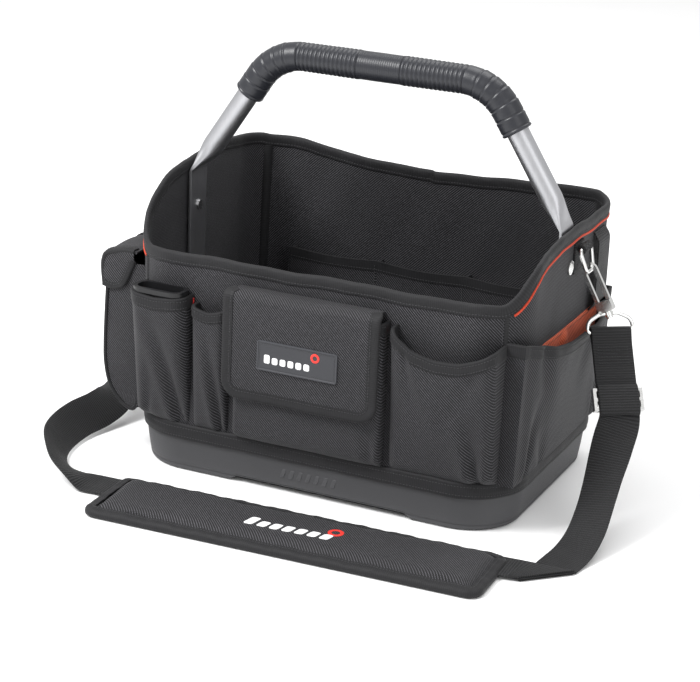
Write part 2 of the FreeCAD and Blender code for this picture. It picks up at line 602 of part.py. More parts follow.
T_R = V(218.0, RING_Y, RING_Z - 22.0)
E_R = V(240.0, RING_Y, 190.0)
BAR_R = V(245.0, 8.0, 174.0)
hook_r, gate_r, d_r, t_r = hook_parts(T_R, E_R)
save(hook_r, "snap_hook_right")
save(gate_r, "hook_gate_right")
DS = unit(V(268.0, -25.0, 118.0) - BAR_R)
half_r, W_R = half_ring(T_R, d_r, BAR_R, V(0.77, 0.62, 0.1))
save(half_r, "half_ring_right")

T_L = V(-218.0, RING_Y, RING_Z - 22.0)
E_L = V(-250.0, RING_Y, 198.0)
BAR_L = V(-258.5, 9.0, 183.0)
hook_l, gate_l, d_l, t_l = hook_parts(T_L, E_L)
save(hook_l, "snap_hook_left")
save(gate_l, "hook_gate_left")
half_l, W_L = half_ring(T_L, d_l, BAR_L, V(-0.12, 1.0, 0.0))
save(half_l, "half_ring_left")

# ----------------------------------------------------------- shoulder strap
ADJ = V(268.0, -25.0, 118.0)
WU = unit(V(0.77, 0.62, 0.1) - DS * V(0.77, 0.62, 0.1).dot(DS))
NU = unit(DS.cross(WU))
up0 = BAR_R + DS * 0.0
sleeve_o = Part.makeCylinder(4.3, STRAP_W, BAR_R - W_R * (STRAP_W / 2.0), W_R)
sleeve_i = Part.makeCylinder(2.03, STRAP_W + 4, BAR_R - W_R * (STRAP_W / 2.0 + 2), W_R)
upper = ribbon([(tuple(BAR_R + DS * 2.6), tuple(WU), tuple(DS)), (tuple(ADJ - DS * 8.0), tuple(WU), tuple(DS))],
               STRAP_W, 4.4)
upper = solid_of(upper.fuse(sleeve_o).cut(sleeve_i).cut(half_r))
save(upper, "strap_upper_right")

run = [(tuple(ADJ - DS * 8.0), tuple(WU), tuple(DS)),
       (tuple(ADJ + DS * 16.0), tuple(WU), tuple(DS)),
       ((274.0, -48.0, 84.0), (0.82, 0.42, 0.32)),
       ((274.0, -68.0, 58.0), (0.86, 0.15, 0.42)),
       ((275.0, -92.0, 34.0), (0.90, 0.0, 0.36)),
       ((275.0, -116.0, 16.0), (0.96, -0.02, 0.22)),
       ((274.0, -140.0, 6.0), (0.99, -0.05, 0.06)),
       ((271.5, -160.0, 2.6), (0.99, -0.12, 0.0)),
       ((270.0, -172.0, 2.0), (1.0, -0.08, 0.0), (0, -1, 0))]
PAD_ANG = math.radians(2.2)
PU = V(math.cos(PAD_ANG), math.sin(PAD_ANG), 0)      # along the pad
PV = V(-math.sin(PAD_ANG), math.cos(PAD_ANG), 0)
MID0 = V(242.0, -202.0, 3.1)
for k in range(1, 6):
    a = math.radians(18.0 * k)
    c = V(270.0 - 30.0 * (1 - math.cos(a)), -172.0 - 30.0 * math.sin(a), 2.0 + 1.1 * k / 5.0)
    run.append((tuple(c), (math.cos(a), -math.sin(a), 0), (-math.sin(a), -math.cos(a), 0)))
run[-1] = (tuple(MID0 + V(-2.0, 0, 0)), tuple(PV * -1.0), tuple(PU * -1.0))
strap_right = ribbon(run, STRAP_W, STRAP_T)
save(strap_right, "strap_lower_right")

MID_R = MID0 + V(-2.0, 0, 0)
MID_L = MID_R - PU * 440.0
mid = ribbon([(tuple(MID_R), tuple(PV * -1.0), tuple(PU * -1.0)), (tuple(MID_L), tuple(PV * -1.0), tuple(PU * -1.0))],
             STRAP_W, STRAP_T)
save(mid, "strap_middle")

DL = V(-0.03, -0.10, -0.99)
left = [(tuple(MID_L), tuple(PV), tuple(PU * -1.0)),
        ((-213.0, -218.5, 7.8), (0.08, 0.95, -0.30)),
        ((-229.0, -214.0, 12.8), (0.22, 0.80, -0.55)),
        ((-246.0, -200.0, 17.0), (0.38, 0.50, -0.78)),
        ((-262.0, -176.0, 18.4), (0.50, 0.25, -0.83)),
        ((-271.0, -146.0, 18.6), (0.56, 0.08, -0.82)),
        ((-273.0, -112.0, 19.5), (0.60, 0.02, -0.80)),
        ((-268.0, -80.0, 21.0), (0.68, 0.0, -0.73)),
        ((-267.0, -52.0, 26.0), (0.80, -0.10, -0.45)),
        ((-272.0, -30.0, 43.0), (0.74, -0.50, 0.10)),
        ((-274.0, -16.0, 72.0), (0.42, -0.86, 0.15)),
        ((-269.5, -5.0, 112.0), (0.18, -0.97, 0.05)),
        ((-262.5, 5.0, 155.0), (0.13, -0.99, -0.10)),
        (tuple(BAR_L + V(-0.6, -0.8, -3.6)), tuple(W_L * -1.0), (-0.2, -0.2, -0.96))]
strap_left = ribbon(left, STRAP_W, STRAP_T)
sl_o = Part.makeCylinder(4.3, STRAP_W, BAR_L - W_L * (STRAP_W / 2.0), W_L)
sl_i = Part.makeCylinder(2.03, STRAP_W + 4, BAR_L - W_L * (STRAP_W / 2.0 + 2), W_L)
strap_left = solid_of(strap_left.fuse(sl_o).cut(sl_i).cut(half_l))
save(strap_left, "strap_left")

# sliding length adjuster around the doubled webbing's end
AM = local(ADJ, DS, WU)
fr = box(-11, 11, -24.5, 24.5, -3.6, 3.6).cut(box(-8, 8, -21.5, 21.5, -5, 5))
bar = box(-1.6, 1.6, -22, 22, 1.9, 3.6)
adj = solid_of(fr.fuse(bar))
adj.transformShape(AM)
chan = ribbon([(tuple(ADJ - DS * 60.0), tuple(WU), tuple(DS)), (tuple(ADJ + DS * 60.0), tuple(WU), tuple(DS))],
              STRAP_W + 1.2, 5.2)
adj = solid_of(adj.cut(chan))
save(adj, "strap_adjuster")

# shoulder pad: padded top, thin backing, webbing runs between them
PC = V(29.0, -233.0, 0.0)


def pad_shape(hx, hy, r, z0, z1, cx=0.0, cy=0.0):
    s = rr_prism(hx, hy, r, z0, z1, cx, cy)
    s.rotate(V(0, 0, 0), V(0, 0, 1), 2.2)
    s.translate(PC)
    return s


cush = pad_shape(199.0, 46.0, 14.0, 1.7, 12.0)
chan_c = MID_R - PU * 220.0
cc = box(-260, 260, -STRAP_W / 2.0 - 0.8, STRAP_W / 2.0 + 0.8, 1.0, 4.7)
cc.rotate(V(0, 0, 0), V(0, 0, 1), 2.2)
cc.translate(V(chan_c.x, chan_c.y, 0))
cush = solid_of(cush.cut(cc))
save(cush, "pad_cushion")
save(pad_shape(199.0, 46.0, 14.0, 0.0, 1.6), "pad_backing")
mark = pad_shape(52.0, 9.0, 3.0, 12.0, 12.6, 8.0, -6.0)
save(mark, "pad_badge")

# webbing loop on the right wall for a clip-on tape measure
TLY0, TLY1 = 58.0, 92.0
tl_o = prism_xz([(203.0, 172.5), (206.4, 172.5), (211.6, 180.0), (211.6, 246.0), (206.4, 254.0), (203.0, 254.0)], TLY0, TLY1)
tl_i = prism_xz([(203.0, 178.5), (205.0, 178.5), (209.8, 182.5), (209.8, 243.5), (205.0, 247.5), (203.0, 247.5)],
                TLY0 - 1, TLY1 + 1)
back_t = prism_xz([(203.0, 172.5), (205.0, 172.5), (205.0, 254.0), (203.0, 254.0)], TLY0, TLY1)
tl = solid_of(tl_o.cut(tl_i).fuse(back_t).cut(wall_outer).cut(lining))
save(tl, "tape_loop")
print("parts written")
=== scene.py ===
import math

import bmesh
import bpy
import numpy as np
from mathutils import Matrix, Vector


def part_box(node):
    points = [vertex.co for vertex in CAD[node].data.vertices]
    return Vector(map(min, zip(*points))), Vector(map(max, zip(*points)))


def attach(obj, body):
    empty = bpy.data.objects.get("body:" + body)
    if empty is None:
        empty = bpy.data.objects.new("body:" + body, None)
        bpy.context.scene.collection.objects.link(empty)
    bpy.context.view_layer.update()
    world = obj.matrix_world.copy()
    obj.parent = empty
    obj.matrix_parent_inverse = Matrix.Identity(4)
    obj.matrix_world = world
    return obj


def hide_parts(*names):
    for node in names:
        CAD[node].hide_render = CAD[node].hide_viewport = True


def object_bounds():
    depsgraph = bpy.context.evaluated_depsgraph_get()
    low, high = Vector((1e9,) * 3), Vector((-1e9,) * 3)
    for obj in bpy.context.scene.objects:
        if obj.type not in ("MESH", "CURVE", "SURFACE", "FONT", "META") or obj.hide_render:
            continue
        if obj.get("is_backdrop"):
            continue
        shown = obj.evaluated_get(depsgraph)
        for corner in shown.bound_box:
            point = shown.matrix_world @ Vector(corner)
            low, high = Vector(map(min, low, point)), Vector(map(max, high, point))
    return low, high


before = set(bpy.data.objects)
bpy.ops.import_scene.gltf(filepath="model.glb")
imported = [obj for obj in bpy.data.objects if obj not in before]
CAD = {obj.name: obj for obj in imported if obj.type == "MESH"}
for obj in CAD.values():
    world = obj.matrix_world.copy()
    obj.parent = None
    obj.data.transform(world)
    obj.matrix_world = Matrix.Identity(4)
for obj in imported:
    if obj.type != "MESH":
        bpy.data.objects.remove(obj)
cad_lo, cad_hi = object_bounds()
MM = 0.001
PI = math.pi
A = np.array


def B(node):
    """Box of a CAD node in millimetres: x0, y0, z0, x1, y1, z1."""
    lo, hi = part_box(node)
    return [v / MM for v in (*lo, *hi)]


# ------------------------------------------------------------------ camera
cam_data = bpy.data.cameras.new("camera")
cam = bpy.data.objects.new("camera", cam_data)
bpy.context.scene.collection.objects.link(cam)
cam_data.lens = 2201.0 / 700.0 * 36.0
cam_data.sensor_width = 36.0
cam_data.clip_start = 0.05
cam_data.clip_end = 100.0
R_ = Vector((0.90880857, 0.41473362, 0.04542023))
U_ = Vector((-0.17434075, 0.27860101, 0.94445052))
F_ = Vector((-0.37904126, 0.86624333, -0.32549996))
m = Matrix((R_, U_, -F_)).transposed().to_4x4()
m.translation = Vector((0.821275, -1.931683, 0.842194))
cam.matrix_world = m
bpy.context.scene.camera = cam


# --------------------------------------------------------------- materials
class Mat:
    """A Principled material with a small node vocabulary."""

    def __init__(self, name, rough=0.6, metal=0.0, sheen=0.0, coat=0.0, spec=0.5, color=(0.1, 0.1, 0.1)):
        self.m = bpy.data.materials.new(name)
        self.m.use_nodes = True
        self.nt = self.m.node_tree
        self.nt.nodes.clear()
        out = self.nt.nodes.new("ShaderNodeOutputMaterial")
        self.b = self.nt.nodes.new("ShaderNodeBsdfPrincipled")
        self.nt.links.new(self.b.outputs[0], out.inputs[0])
        b = self.b.inputs
        b["Base Color"].default_value = (*color, 1.0)
        b["Roughness"].default_value = rough
        b["Metallic"].default_value = metal
        b["Sheen Weight"].default_value = sheen
        b["Sheen Roughness"].default_value = 0.5
        b["Coat Weight"].default_value = coat
        b["Specular IOR Level"].default_value = spec

    def node(self, kind, **kw):
        n = self.nt.nodes.new(kind)
        for k, v in kw.items():
            setattr(n, k, v)
        return n

    def plug(self, sock, v):
        if isinstance(v, (int, float, tuple, list)):
            sock.default_value = v
        else:
            self.nt.links.new(v, sock)

    def m2(self, op, a, b=0.0, c=None):
        n = self.node("ShaderNodeMath", operation=op)
        self.plug(n.inputs[0], a)
        self.plug(n.inputs[1], b)
        if c is not None:
            self.plug(n.inputs[2], c)
        return n.outputs[0]

    def uv(self):
        n = self.node("ShaderNodeUVMap", uv_map="UVMap")
        s = self.node("ShaderNodeSeparateXYZ")
        self.nt.links.new(n.outputs[0], s.inputs[0])
        return s.outputs[0], s.outputs[1]

    def obj(self):
        n = self.node("ShaderNodeTexCoord")
        s = self.node("ShaderNodeSeparateXYZ")
        self.nt.links.new(n.outputs["Object"], s.inputs[0])
        return s.outputs[0], s.outputs[1], s.outputs[2]

    def objvec(self):
        return self.node("ShaderNodeTexCoord").outputs["Object"]

    def noise(self, scale, detail=3.0, rough=0.5, vec=None, stretch=None):
        n = self.node("ShaderNodeTexNoise")
        n.inputs["Scale"].default_value = scale
        n.inputs["Detail"].default_value = detail
        n.inputs["Roughness"].default_value = rough
        v = vec if vec is not None else self.objvec()
        if stretch:
            mp = self.node("ShaderNodeMapping")
            mp.inputs["Scale"].default_value = stretch
            self.nt.links.new(v, mp.inputs["Vector"])
            v = mp.outputs[0]
        self.nt.links.new(v, n.inputs["Vector"])
        return n.outputs["Fac"]

    def wave(self, coord, pitch, phase=0.0):
        """0..1 cosine of a coordinate in metres."""
        a = self.m2("MULTIPLY_ADD", coord, 2 * PI / pitch, phase)
        return self.m2("MULTIPLY_ADD", self.m2("COSINE", a), 0.5, 0.5)

    def ramp(self, fac, stops):
        n = self.node("ShaderNodeValToRGB")
        e = n.color_ramp.elements
        while len(e) < len(stops):
            e.new(0.5)
        for el, (p, c) in zip(e, stops):
            el.position = p
            el.color = (*c, 1.0)
        self.plug(n.inputs[0], fac)
        return n.outputs[0]

    def mix(self, fac, a, b, blend="MIX"):
        n = self.node("ShaderNodeMix", data_type="RGBA", blend_type=blend)
        self.plug(n.inputs[0], fac)
        for s, v in ((n.inputs[6], a), (n.inputs[7], b)):
            if isinstance(v, tuple):
                s.default_value = (*v, 1.0)
            else:
                self.nt.links.new(v, s)
        return n.outputs[2]

    def color(self, sock):
        self.nt.links.new(sock, self.b.inputs["Base Color"])

    def rough(self, sock):
        self.nt.links.new(sock, self.b.inputs["Roughness"])

    def bump(self, *layers):
        """layers of (height socket, distance in metres, strength)"""
        last = None
        for h, dist, st in layers:
            n = self.node("ShaderNodeBump")
            n.inputs["Strength"].default_value = st
            n.inputs["Distance"].default_value = dist
            self.nt.links.new(h, n.inputs["Height"])
            if last is not None:
                self.nt.links.new(last, n.inputs["Normal"])
            last = n.outputs[0]
        self.nt.links.new(last, self.b.inputs["Normal"])


def twill(name, dark, mid, light, pitch=0.0021, cell=0.0013, plane="uv", sheen=0.06, depth=0.00045):
    M = Mat(name, rough=0.72, sheen=sheen, spec=0.28)
    if plane == "uv":
        u, v = M.uv()
    else:
        o = M.obj()
        u, v = {"xy": (o[0], o[1]), "yz": (o[1], o[2]), "xz": (o[0], o[2])}[plane]
    d1 = M.m2("ADD", u, v)
    d2 = M.m2("SUBTRACT", u, v)
    w1 = M.wave(d1, pitch * math.sqrt(2))
    w2 = M.wave(d2, cell * math.sqrt(2))
    h = M.m2("MULTIPLY", w1, M.m2("MULTIPLY_ADD", w2, 0.45, 0.55))
    big = M.noise(9.0, 4.0)
    fine = M.noise(420.0, 2.0)
    hh = M.m2("MULTIPLY_ADD", M.m2("SUBTRACT", fine, 0.5), 0.5, h)
    col = M.ramp(hh, [(0.12, dark), (0.45, mid), (0.85, light)])
    col2 = M.mix(M.m2("MULTIPLY", M.m2("SUBTRACT", big, 0.35), 0.9), col, tuple(c * 1.5 for c in mid))
    M.color(col2)
    M.rough(M.m2("MULTIPLY_ADD", fine, 0.25, 0.58))
    M.bump((h, depth, 0.7), (big, 0.004, 0.12))
    return M.m


def tape(name, dark, light, pitch=0.0019, plane="uv", rough=0.7, across=True):
    """Folded binding tape: fine ribs across its length, slightly shiny."""
    M = Mat(name, rough=rough, sheen=0.05, spec=0.28)
    if plane == "uv":
        u, v = M.uv()
    else:
        o = M.obj()
        u, v = o[0], o[2]
    w1 = M.wave(u, pitch)
    w2 = M.wave(v, 0.0011)
    h = M.m2("MULTIPLY", w1, M.m2("MULTIPLY_ADD", w2, 0.5, 0.5))
    n = M.noise(60.0, 3.0)
    M.color(M.mix(M.m2("MULTIPLY", M.m2("ADD", h, n), 0.5), dark, light))
    M.rough(M.m2("MULTIPLY_ADD", n, 0.2, 0.55))
    M.bump((h, 0.0003, 0.6), (n, 0.0012, 0.35))
    return M.m


def webbing(name, dark, light, rib=0.0026):
    M = Mat(name, rough=0.62, sheen=0.05, spec=0.32)
    u, v = M.uv()
    zig = M.m2("MULTIPLY", M.m2("PINGPONG", u, 0.0008), 0.9)
    vv = M.m2("ADD", v, zig)
    w1 = M.wave(vv, rib)
    w2 = M.wave(u, 0.0016)
    h = M.m2("MULTIPLY", w1, M.m2("MULTIPLY_ADD", w2, 0.4, 0.6))
    n = M.noise(40.0, 3.0)
    f = M.m2("MULTIPLY_ADD", M.m2("SUBTRACT", n, 0.5), 0.6, h)
    M.color(M.ramp(f, [(0.1, dark), (0.9, light)]))
    M.rough(M.m2("MULTIPLY_ADD", n, 0.25, 0.5))
    M.bump((h, 0.0007, 0.8))
    return M.m


def moulded(name, c0, c1, rough=0.5, grain=900.0, depth=0.00012, scale=14.0, coat=0.0):
    M = Mat(name, rough=rough, spec=0.4, coat=coat)
    n = M.noise(scale, 4.0)
    g = M.noise(grain, 2.0, 0.6)
    geo = M.node("ShaderNodeNewGeometry")
    edge = M.ramp(geo.outputs["Pointiness"], [(0.5, (0, 0, 0)), (0.56, (1, 1, 1))])
    worn = tuple(min(1.0, c * 1.6) for c in c1)
    M.color(M.mix(M.m2("MULTIPLY", edge, 0.35), M.mix(n, c0, c1), worn))
    M.rough(M.m2("MULTIPLY_ADD", g, 0.3, rough - 0.15))
    M.bump((g, depth, 0.6))
    return M.m


def metal(name, c0, c1, rough=0.2, stretch=None, scale=200.0, depth=0.00002, wear=0.12):
    M = Mat(name, rough=rough, metal=1.0)
    n = M.noise(scale, 4.0, 0.6, stretch=stretch)
    b = M.noise(18.0, 3.0)
    M.color(M.mix(n, c0, c1))
    M.rough(M.m2("MULTIPLY_ADD", M.m2("ADD", n, b), wear, rough - wear * 0.6))
    M.bump((n, depth, 0.4))
    return M.m


DK, MD, LT = (0.0022, 0.0022, 0.0026), (0.0090, 0.0088, 0.0102), (0.098, 0.096, 0.106)
M_FAB = twill("fabric_twill", DK, MD, LT)
M_FABX = twill("fabric_twill_flat", DK, MD, LT, plane="xy")
M_FABIN = twill("fabric_inside", (0.005, 0.005, 0.0055), (0.011, 0.011, 0.012), (0.032, 0.032, 0.034))
M_BIND = tape("binding_tape", (0.004, 0.004, 0.0045), (0.020, 0.0196, 0.022))
M_PIPE = tape("red_piping", (0.42, 0.035, 0.012), (0.68, 0.075, 0.03), pitch=0.0024)
M_LINE = twill("orange_lining", (0.42, 0.07, 0.025), (0.60, 0.105, 0.04), (0.78, 0.17, 0.08), pitch=0.0026, sheen=0.1)
M_WEB = webbing("strap_webbing", (0.0024, 0.0024, 0.0028), (0.020, 0.020, 0.022))
M_WEBF = webbing("elastic_webbing", (0.002, 0.002, 0.0022), (0.014, 0.014, 0.015), rib=0.0018)
M_FABG = twill("fabric_twill_end", DK, MD, LT, plane="xz")
M_TUB = moulded("tub_plastic", (0.040, 0.040, 0.043), (0.050, 0.050, 0.0535), rough=0.55, grain=1400.0, depth=0.00016)
M_BOARD = moulded("floor_board", (0.012, 0.012, 0.013), (0.02, 0.02, 0.021), rough=0.8, grain=500.0, depth=0.0003)
M_GRIP = moulded("grip_rubber", (0.015, 0.016, 0.020), (0.022, 0.023, 0.028), rough=0.36, grain=1600.0, depth=0.00008)
M_PLAS = moulded("black_plastic", (0.005, 0.005, 0.0055), (0.009, 0.009, 0.010), rough=0.38, grain=1200.0, depth=0.00006)
M_LABEL = moulded("label_rubber", (0.030, 0.031, 0.036), (0.037, 0.038, 0.043), rough=0.5, grain=1500.0, depth=0.00008)
M_WHITE = moulded("white_print", (0.78, 0.78, 0.78), (0.86, 0.86, 0.86), rough=0.55, grain=900.0, depth=0.00006)
M_RED = moulded("red_print", (0.60, 0.025, 0.02), (0.72, 0.04, 0.03), rough=0.5, grain=900.0, depth=0.00006)
M_ALU = metal("satin_aluminium", (0.42, 0.42, 0.44), (0.54, 0.545, 0.56), rough=0.36, stretch=(14.0, 14.0, 1.0), scale=60.0)
M_CHROME = metal("nickel_plate", (0.70, 0.70, 0.69), (0.80, 0.80, 0.79), rough=0.13, scale=300.0)
M_THREAD = moulded("sewing_thread", (0.026, 0.026, 0.028), (0.046, 0.046, 0.049), rough=0.6, grain=2500.0, depth=0.0001)
M_THRED = moulded("red_thread", (0.60, 0.02, 0.015), (0.72, 0.035, 0.03), rough=0.6, grain=2500.0, depth=0.0001)


def fuzzy():
    M = Mat("hook_and_loop", rough=0.9, sheen=0.6)
    n = M.noise(1500.0, 2.0, 0.7)
    g = M.noise(240.0, 3.0)
    M.color(M.mix(M.m2("MULTIPLY", n, g), (0.005, 0.005, 0.0055), (0.05, 0.05, 0.052)))
    M.bump((n, 0.0008, 1.0))
    return M.m


M_HOOK = fuzzy()


# ------------------------------------------------------------ mesh helpers
def add(name, verts, faces, mats, uv=None, fm=None, body="bag", slot=None, rep=(), sharp=42.0):
    """Make a piece from millimetre vertices, riding on a body."""
    me = bpy.data.meshes.new(name)
    me.from_pydata([tuple(p) for p in np.asarray(verts, float) * MM], [], [tuple(int(i) for i in f) for f in faces])
    if fm is not None:
        me.polygons.foreach_set("material_index", [int(i) for i in fm])
    bm = bmesh.new()
    bm.from_mesh(me)
    bmesh.ops.recalc_face_normals(bm, faces=bm.faces)
    bm.to_mesh(me)
    bm.free()
    if uv is not None:
        lay = me.uv_layers.new(name="UVMap")
        idx = np.zeros(len(me.loops), np.int64)
        me.loops.foreach_get("vertex_index", idx)
        lay.data.foreach_set("uv", (np.asarray(uv, float)[idx] * MM).ravel())
    for mt in (mats if isinstance(mats, (list, tuple)) else [mats]):
        me.materials.append(mt)
    me.polygons.foreach_set("use_smooth", [True] * len(me.polygons))
    if sharp:
        me.set_sharp_from_angle(angle=math.radians(sharp))
    me.update()
    o = bpy.data.objects.new(name, me)
    bpy.context.scene.collection.objects.link(o)
    if body:
        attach(o, body)
    if rep:
        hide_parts(*rep)
    return o


def norms(P, toward=None, closed=False):
    """Unit normals of a grid of points, turned to agree with 'toward'."""
    if closed:
        du = np.roll(P, -1, 0) - np.roll(P, 1, 0)
    else:
        du = np.gradient(P, axis=0)
    dv = np.gradient(P, axis=1)
    n = np.cross(du, dv)
    n /= np.maximum(np.linalg.norm(n, axis=2, keepdims=True), 1e-9)
    if toward is not None and (n * toward).sum() < 0:
        n = -n
    return n


def arc_uv(P):
    u = np.concatenate([[0], np.cumsum(np.linalg.norm(np.diff(P[:, P.shape[1] // 2], axis=0), axis=1))])
    v = np.concatenate([np.zeros((P.shape[0], 1)), np.cumsum(np.linalg.norm(np.diff(P, axis=1), axis=2), axis=1)], 1)
    uv = np.zeros(P.shape[:2] + (2,))
    uv[..., 0] = u[:, None]
    uv[..., 1] = v
    return uv


def shell_data(P, Nn, thick, closed=False, uv=None):
    """Closed thick sheet over a grid; normals point to the grid's side."""
    a, b = P.shape[:2]
    if uv is None:
        uv = arc_uv(P)
    if not np.isscalar(thick):
        thick = np.asarray(thick)[..., None]
    Q = P - Nn * thick
    V = np.concatenate([P.reshape(-1, 3), Q.reshape(-1, 3)])
    UV = np.concatenate([uv.reshape(-1, 2), uv.reshape(-1, 2)])
    I = lambda i, j: (i % a) * b + j
    off = a * b
    F = []
    ra = a if closed else a - 1
    for i in range(ra):
        for j in range(b - 1):
            q = (I(i, j), I(i + 1, j), I(i + 1, j + 1), I(i, j + 1))
            F.append(q)
            F.append(tuple(off + k for k in reversed(q)))
        F.append((I(i, 0), off + I(i, 0), off + I(i + 1, 0), I(i + 1, 0)))
        F.append((I(i, b - 1), I(i + 1, b - 1), off + I(i + 1, b - 1), off + I(i, b - 1)))
    if not closed:
        for j in range(b - 1):
            F.append((I(0, j), I(0, j + 1), off + I(0, j + 1), off + I(0, j)))
            F.append((I(a - 1, j), off + I(a - 1, j), off + I(a - 1, j + 1), I(a - 1, j + 1)))
    return V, F, UV


def shell(name, P, thick, mat, toward, closed=False, **kw):
    Nn = norms(P, toward, closed)
    V, F, UV = shell_data(P, Nn, thick, closed)
    return add(name, V, F, mat, uv=UV, **kw)


def sweep_data(C, A1, A2, prof, closed=False, caps=True):
    """Profile points (a, b) carried along C with a on A1 and b on A2. prof may change along the path."""
    n = len(C)
    prof = np.asarray(prof, float)
    if prof.ndim == 2:
        prof = np.broadcast_to(prof, (n,) + prof.shape)
    k = prof.shape[1]
    V = C[:, None, :] + A1[:, None, :] * prof[..., 0:1] + A2[:, None, :] * prof[..., 1:2]
    s = np.concatenate([[0], np.cumsum(np.linalg.norm(np.diff(C, axis=0), axis=1))])
    w = np.concatenate([[0], np.cumsum(np.linalg.norm(np.diff(prof[0], axis=0), axis=1))])
    UV = np.zeros((n, k, 2))
    UV[..., 0] = w[None, :]
    UV[..., 1] = s[:, None]
    F = []
    rn = n if closed else n - 1
    for i in range(rn):
        for j in range(k):
            F.append((i * k + j, i * k + (j + 1) % k, ((i + 1) % n) * k + (j + 1) % k, ((i + 1) % n) * k + j))
    if caps and not closed:
        F.append(tuple(range(k - 1, -1, -1)))
        F.append(tuple((n - 1) * k + j for j in range(k)))
    return V.reshape(-1, 3), F, UV.reshape(-1, 2)


def merge(parts):
    V, F, UV, o = [], [], [], 0
    for v, f, u in parts:
        V.append(v)
        UV.append(u)
        F += [tuple(i + o for i in q) for q in f]
        o += len(v)
    return np.concatenate(V), F, np.concatenate(UV)


def unit(v):
    v = np.asarray(v, float)
    return v / np.maximum(np.linalg.norm(v, axis=-1, keepdims=True), 1e-12)


def catmull(P, step):
    """Centripetal Catmull-Rom through rows of P, sampled about every step (first three columns are the place)."""
    P = np.asarray(P, float)
    ext = np.vstack([2 * P[0] - P[1], P, 2 * P[-1] - P[-2]])
    out = []
    for i in range(1, len(ext) - 2):
        p0, p1, p2, p3 = ext[i - 1:i + 3]
        t = [0.0]
        for a, b in ((p0, p1), (p1, p2), (p2, p3)):
            t.append(t[-1] + max(np.linalg.norm(b[:3] - a[:3]), 1e-6) ** 0.5)
        n = max(2, int(math.ceil(np.linalg.norm(p2[:3] - p1[:3]) / step)))
        for k in range(n):
            x = t[1] + (t[2] - t[1]) * k / n
            a1 = (t[1] - x) / (t[1] - t[0]) * p0 + (x - t[0]) / (t[1] - t[0]) * p1
            a2 = (t[2] - x) / (t[2] - t[1]) * p1 + (x - t[1]) / (t[2] - t[1]) * p2
            a3 = (t[3] - x) / (t[3] - t[2]) * p2 + (x - t[2]) / (t[3] - t[2]) * p3
            b1 = (t[2] - x) / (t[2] - t[0]) * a1 + (x - t[0]) / (t[2] - t[0]) * a2
            b2 = (t[3] - x) / (t[3] - t[1]) * a2 + (x - t[1]) / (t[3] - t[1]) * a3
            out.append((t[2] - x) / (t[2] - t[1]) * b1 + (x - t[1]) / (t[2] - t[1]) * b2)
    out.append(P[-1])
    return np.array(out)


def smooth_rim(pts, t):
    xs, zs = zip(*pts)
    return np.interp(t, xs, zs)


# stitches are gathered per body and material, and made into one piece each
STITCH = {}


def stitch(pts, nrm, body="bag", kind="dark", pitch=3.1, length=2.1, r=0.34, lift=0.05):
    """A row of thread stitches along points, lying on the surface."""
    pts = np.asarray(pts, float)
    nrm = np.broadcast_to(np.asarray(nrm, float), pts.shape)
    seg = np.linalg.norm(np.diff(pts, axis=0), axis=1)
    s = np.concatenate([[0], np.cumsum(seg)])
    if s[-1] < length:
        return
    n = int(s[-1] // pitch)
    start = (s[-1] - n * pitch) / 2
    for k in range(n):
        a, b = start + k * pitch, start + k * pitch + length
        row = []
        for t in (a, (a + b) / 2, b):
            p = A([np.interp(t, s, pts[:, c]) for c in range(3)])
            q = unit(A([np.interp(t, s, nrm[:, c]) for c in range(3)]))
            row.append((p, q))
        d = unit(row[2][0] - row[0][0])
        V = []
        for (p, q), rr, up in zip(row, (r * 0.5, r, r * 0.5), (-0.1, lift + r * 0.5, -0.1)):
            side = unit(np.cross(d, q))
            c = p + q * up
            V += [c + side * rr, c + q * rr, c - side * rr, c - q * rr]
        F = [(3, 2, 1, 0), (8, 9, 10, 11)]
        for i in range(2):
            for j in range(4):
                F.append((i * 4 + j, i * 4 + (j + 1) % 4, i * 4 + 4 + (j + 1) % 4, i * 4 + 4 + j))
        STITCH.setdefault((body, kind), []).append((np.array(V), F, np.zeros((12, 2))))


# ------------------------------------------------------------------ walls
TUB_B, TUB_T_ = A([197.0, 137.0, 55.0]), A([201.0, 141.5, 57.0])
TOPW = A([205.0, 139.0, 46.0])
WT, SEAM = 2.5, 187.0
RIM_L = [(-200, 223), (-129, 224), (-120, 229), (-108, 241), (-92, 258), (-76, 269), (-58, 277),
         (-27, 284), (20, 287), (60, 288), (118, 284), (200, 282)]
RIM_R = [(-200, 224), (-129, 226), (-121, 236), (-112, 249), (-98, 259), (-75, 265), (-36, 270),
         (16, 272), (56, 271), (100, 272), (140, 275), (200, 276)]
RIM_B = [(-187, 282), (-145, 279), (-97, 272), (-40, 268), (5, 267), (60, 269), (120, 273), (187, 276)]
RIM_F = 225.0


def wdim(z):
    k = (np.asarray(z, float) - 37.0) / 263.0
    return (201.0 + 4.0 * k, 141.5 - 2.5 * k, 57.0 - 11.0 * k)


def tdim(z):
    k = np.asarray(z, float) / 37.0
    return (197.0 + 4.0 * k, 137.0 + 4.5 * k, 55.0 + 2.0 * k)


def perim(dim):
    hx, hy, r = dim
    return 4 * (hx - r) + 4 * (hy - r) + 2 * PI * r


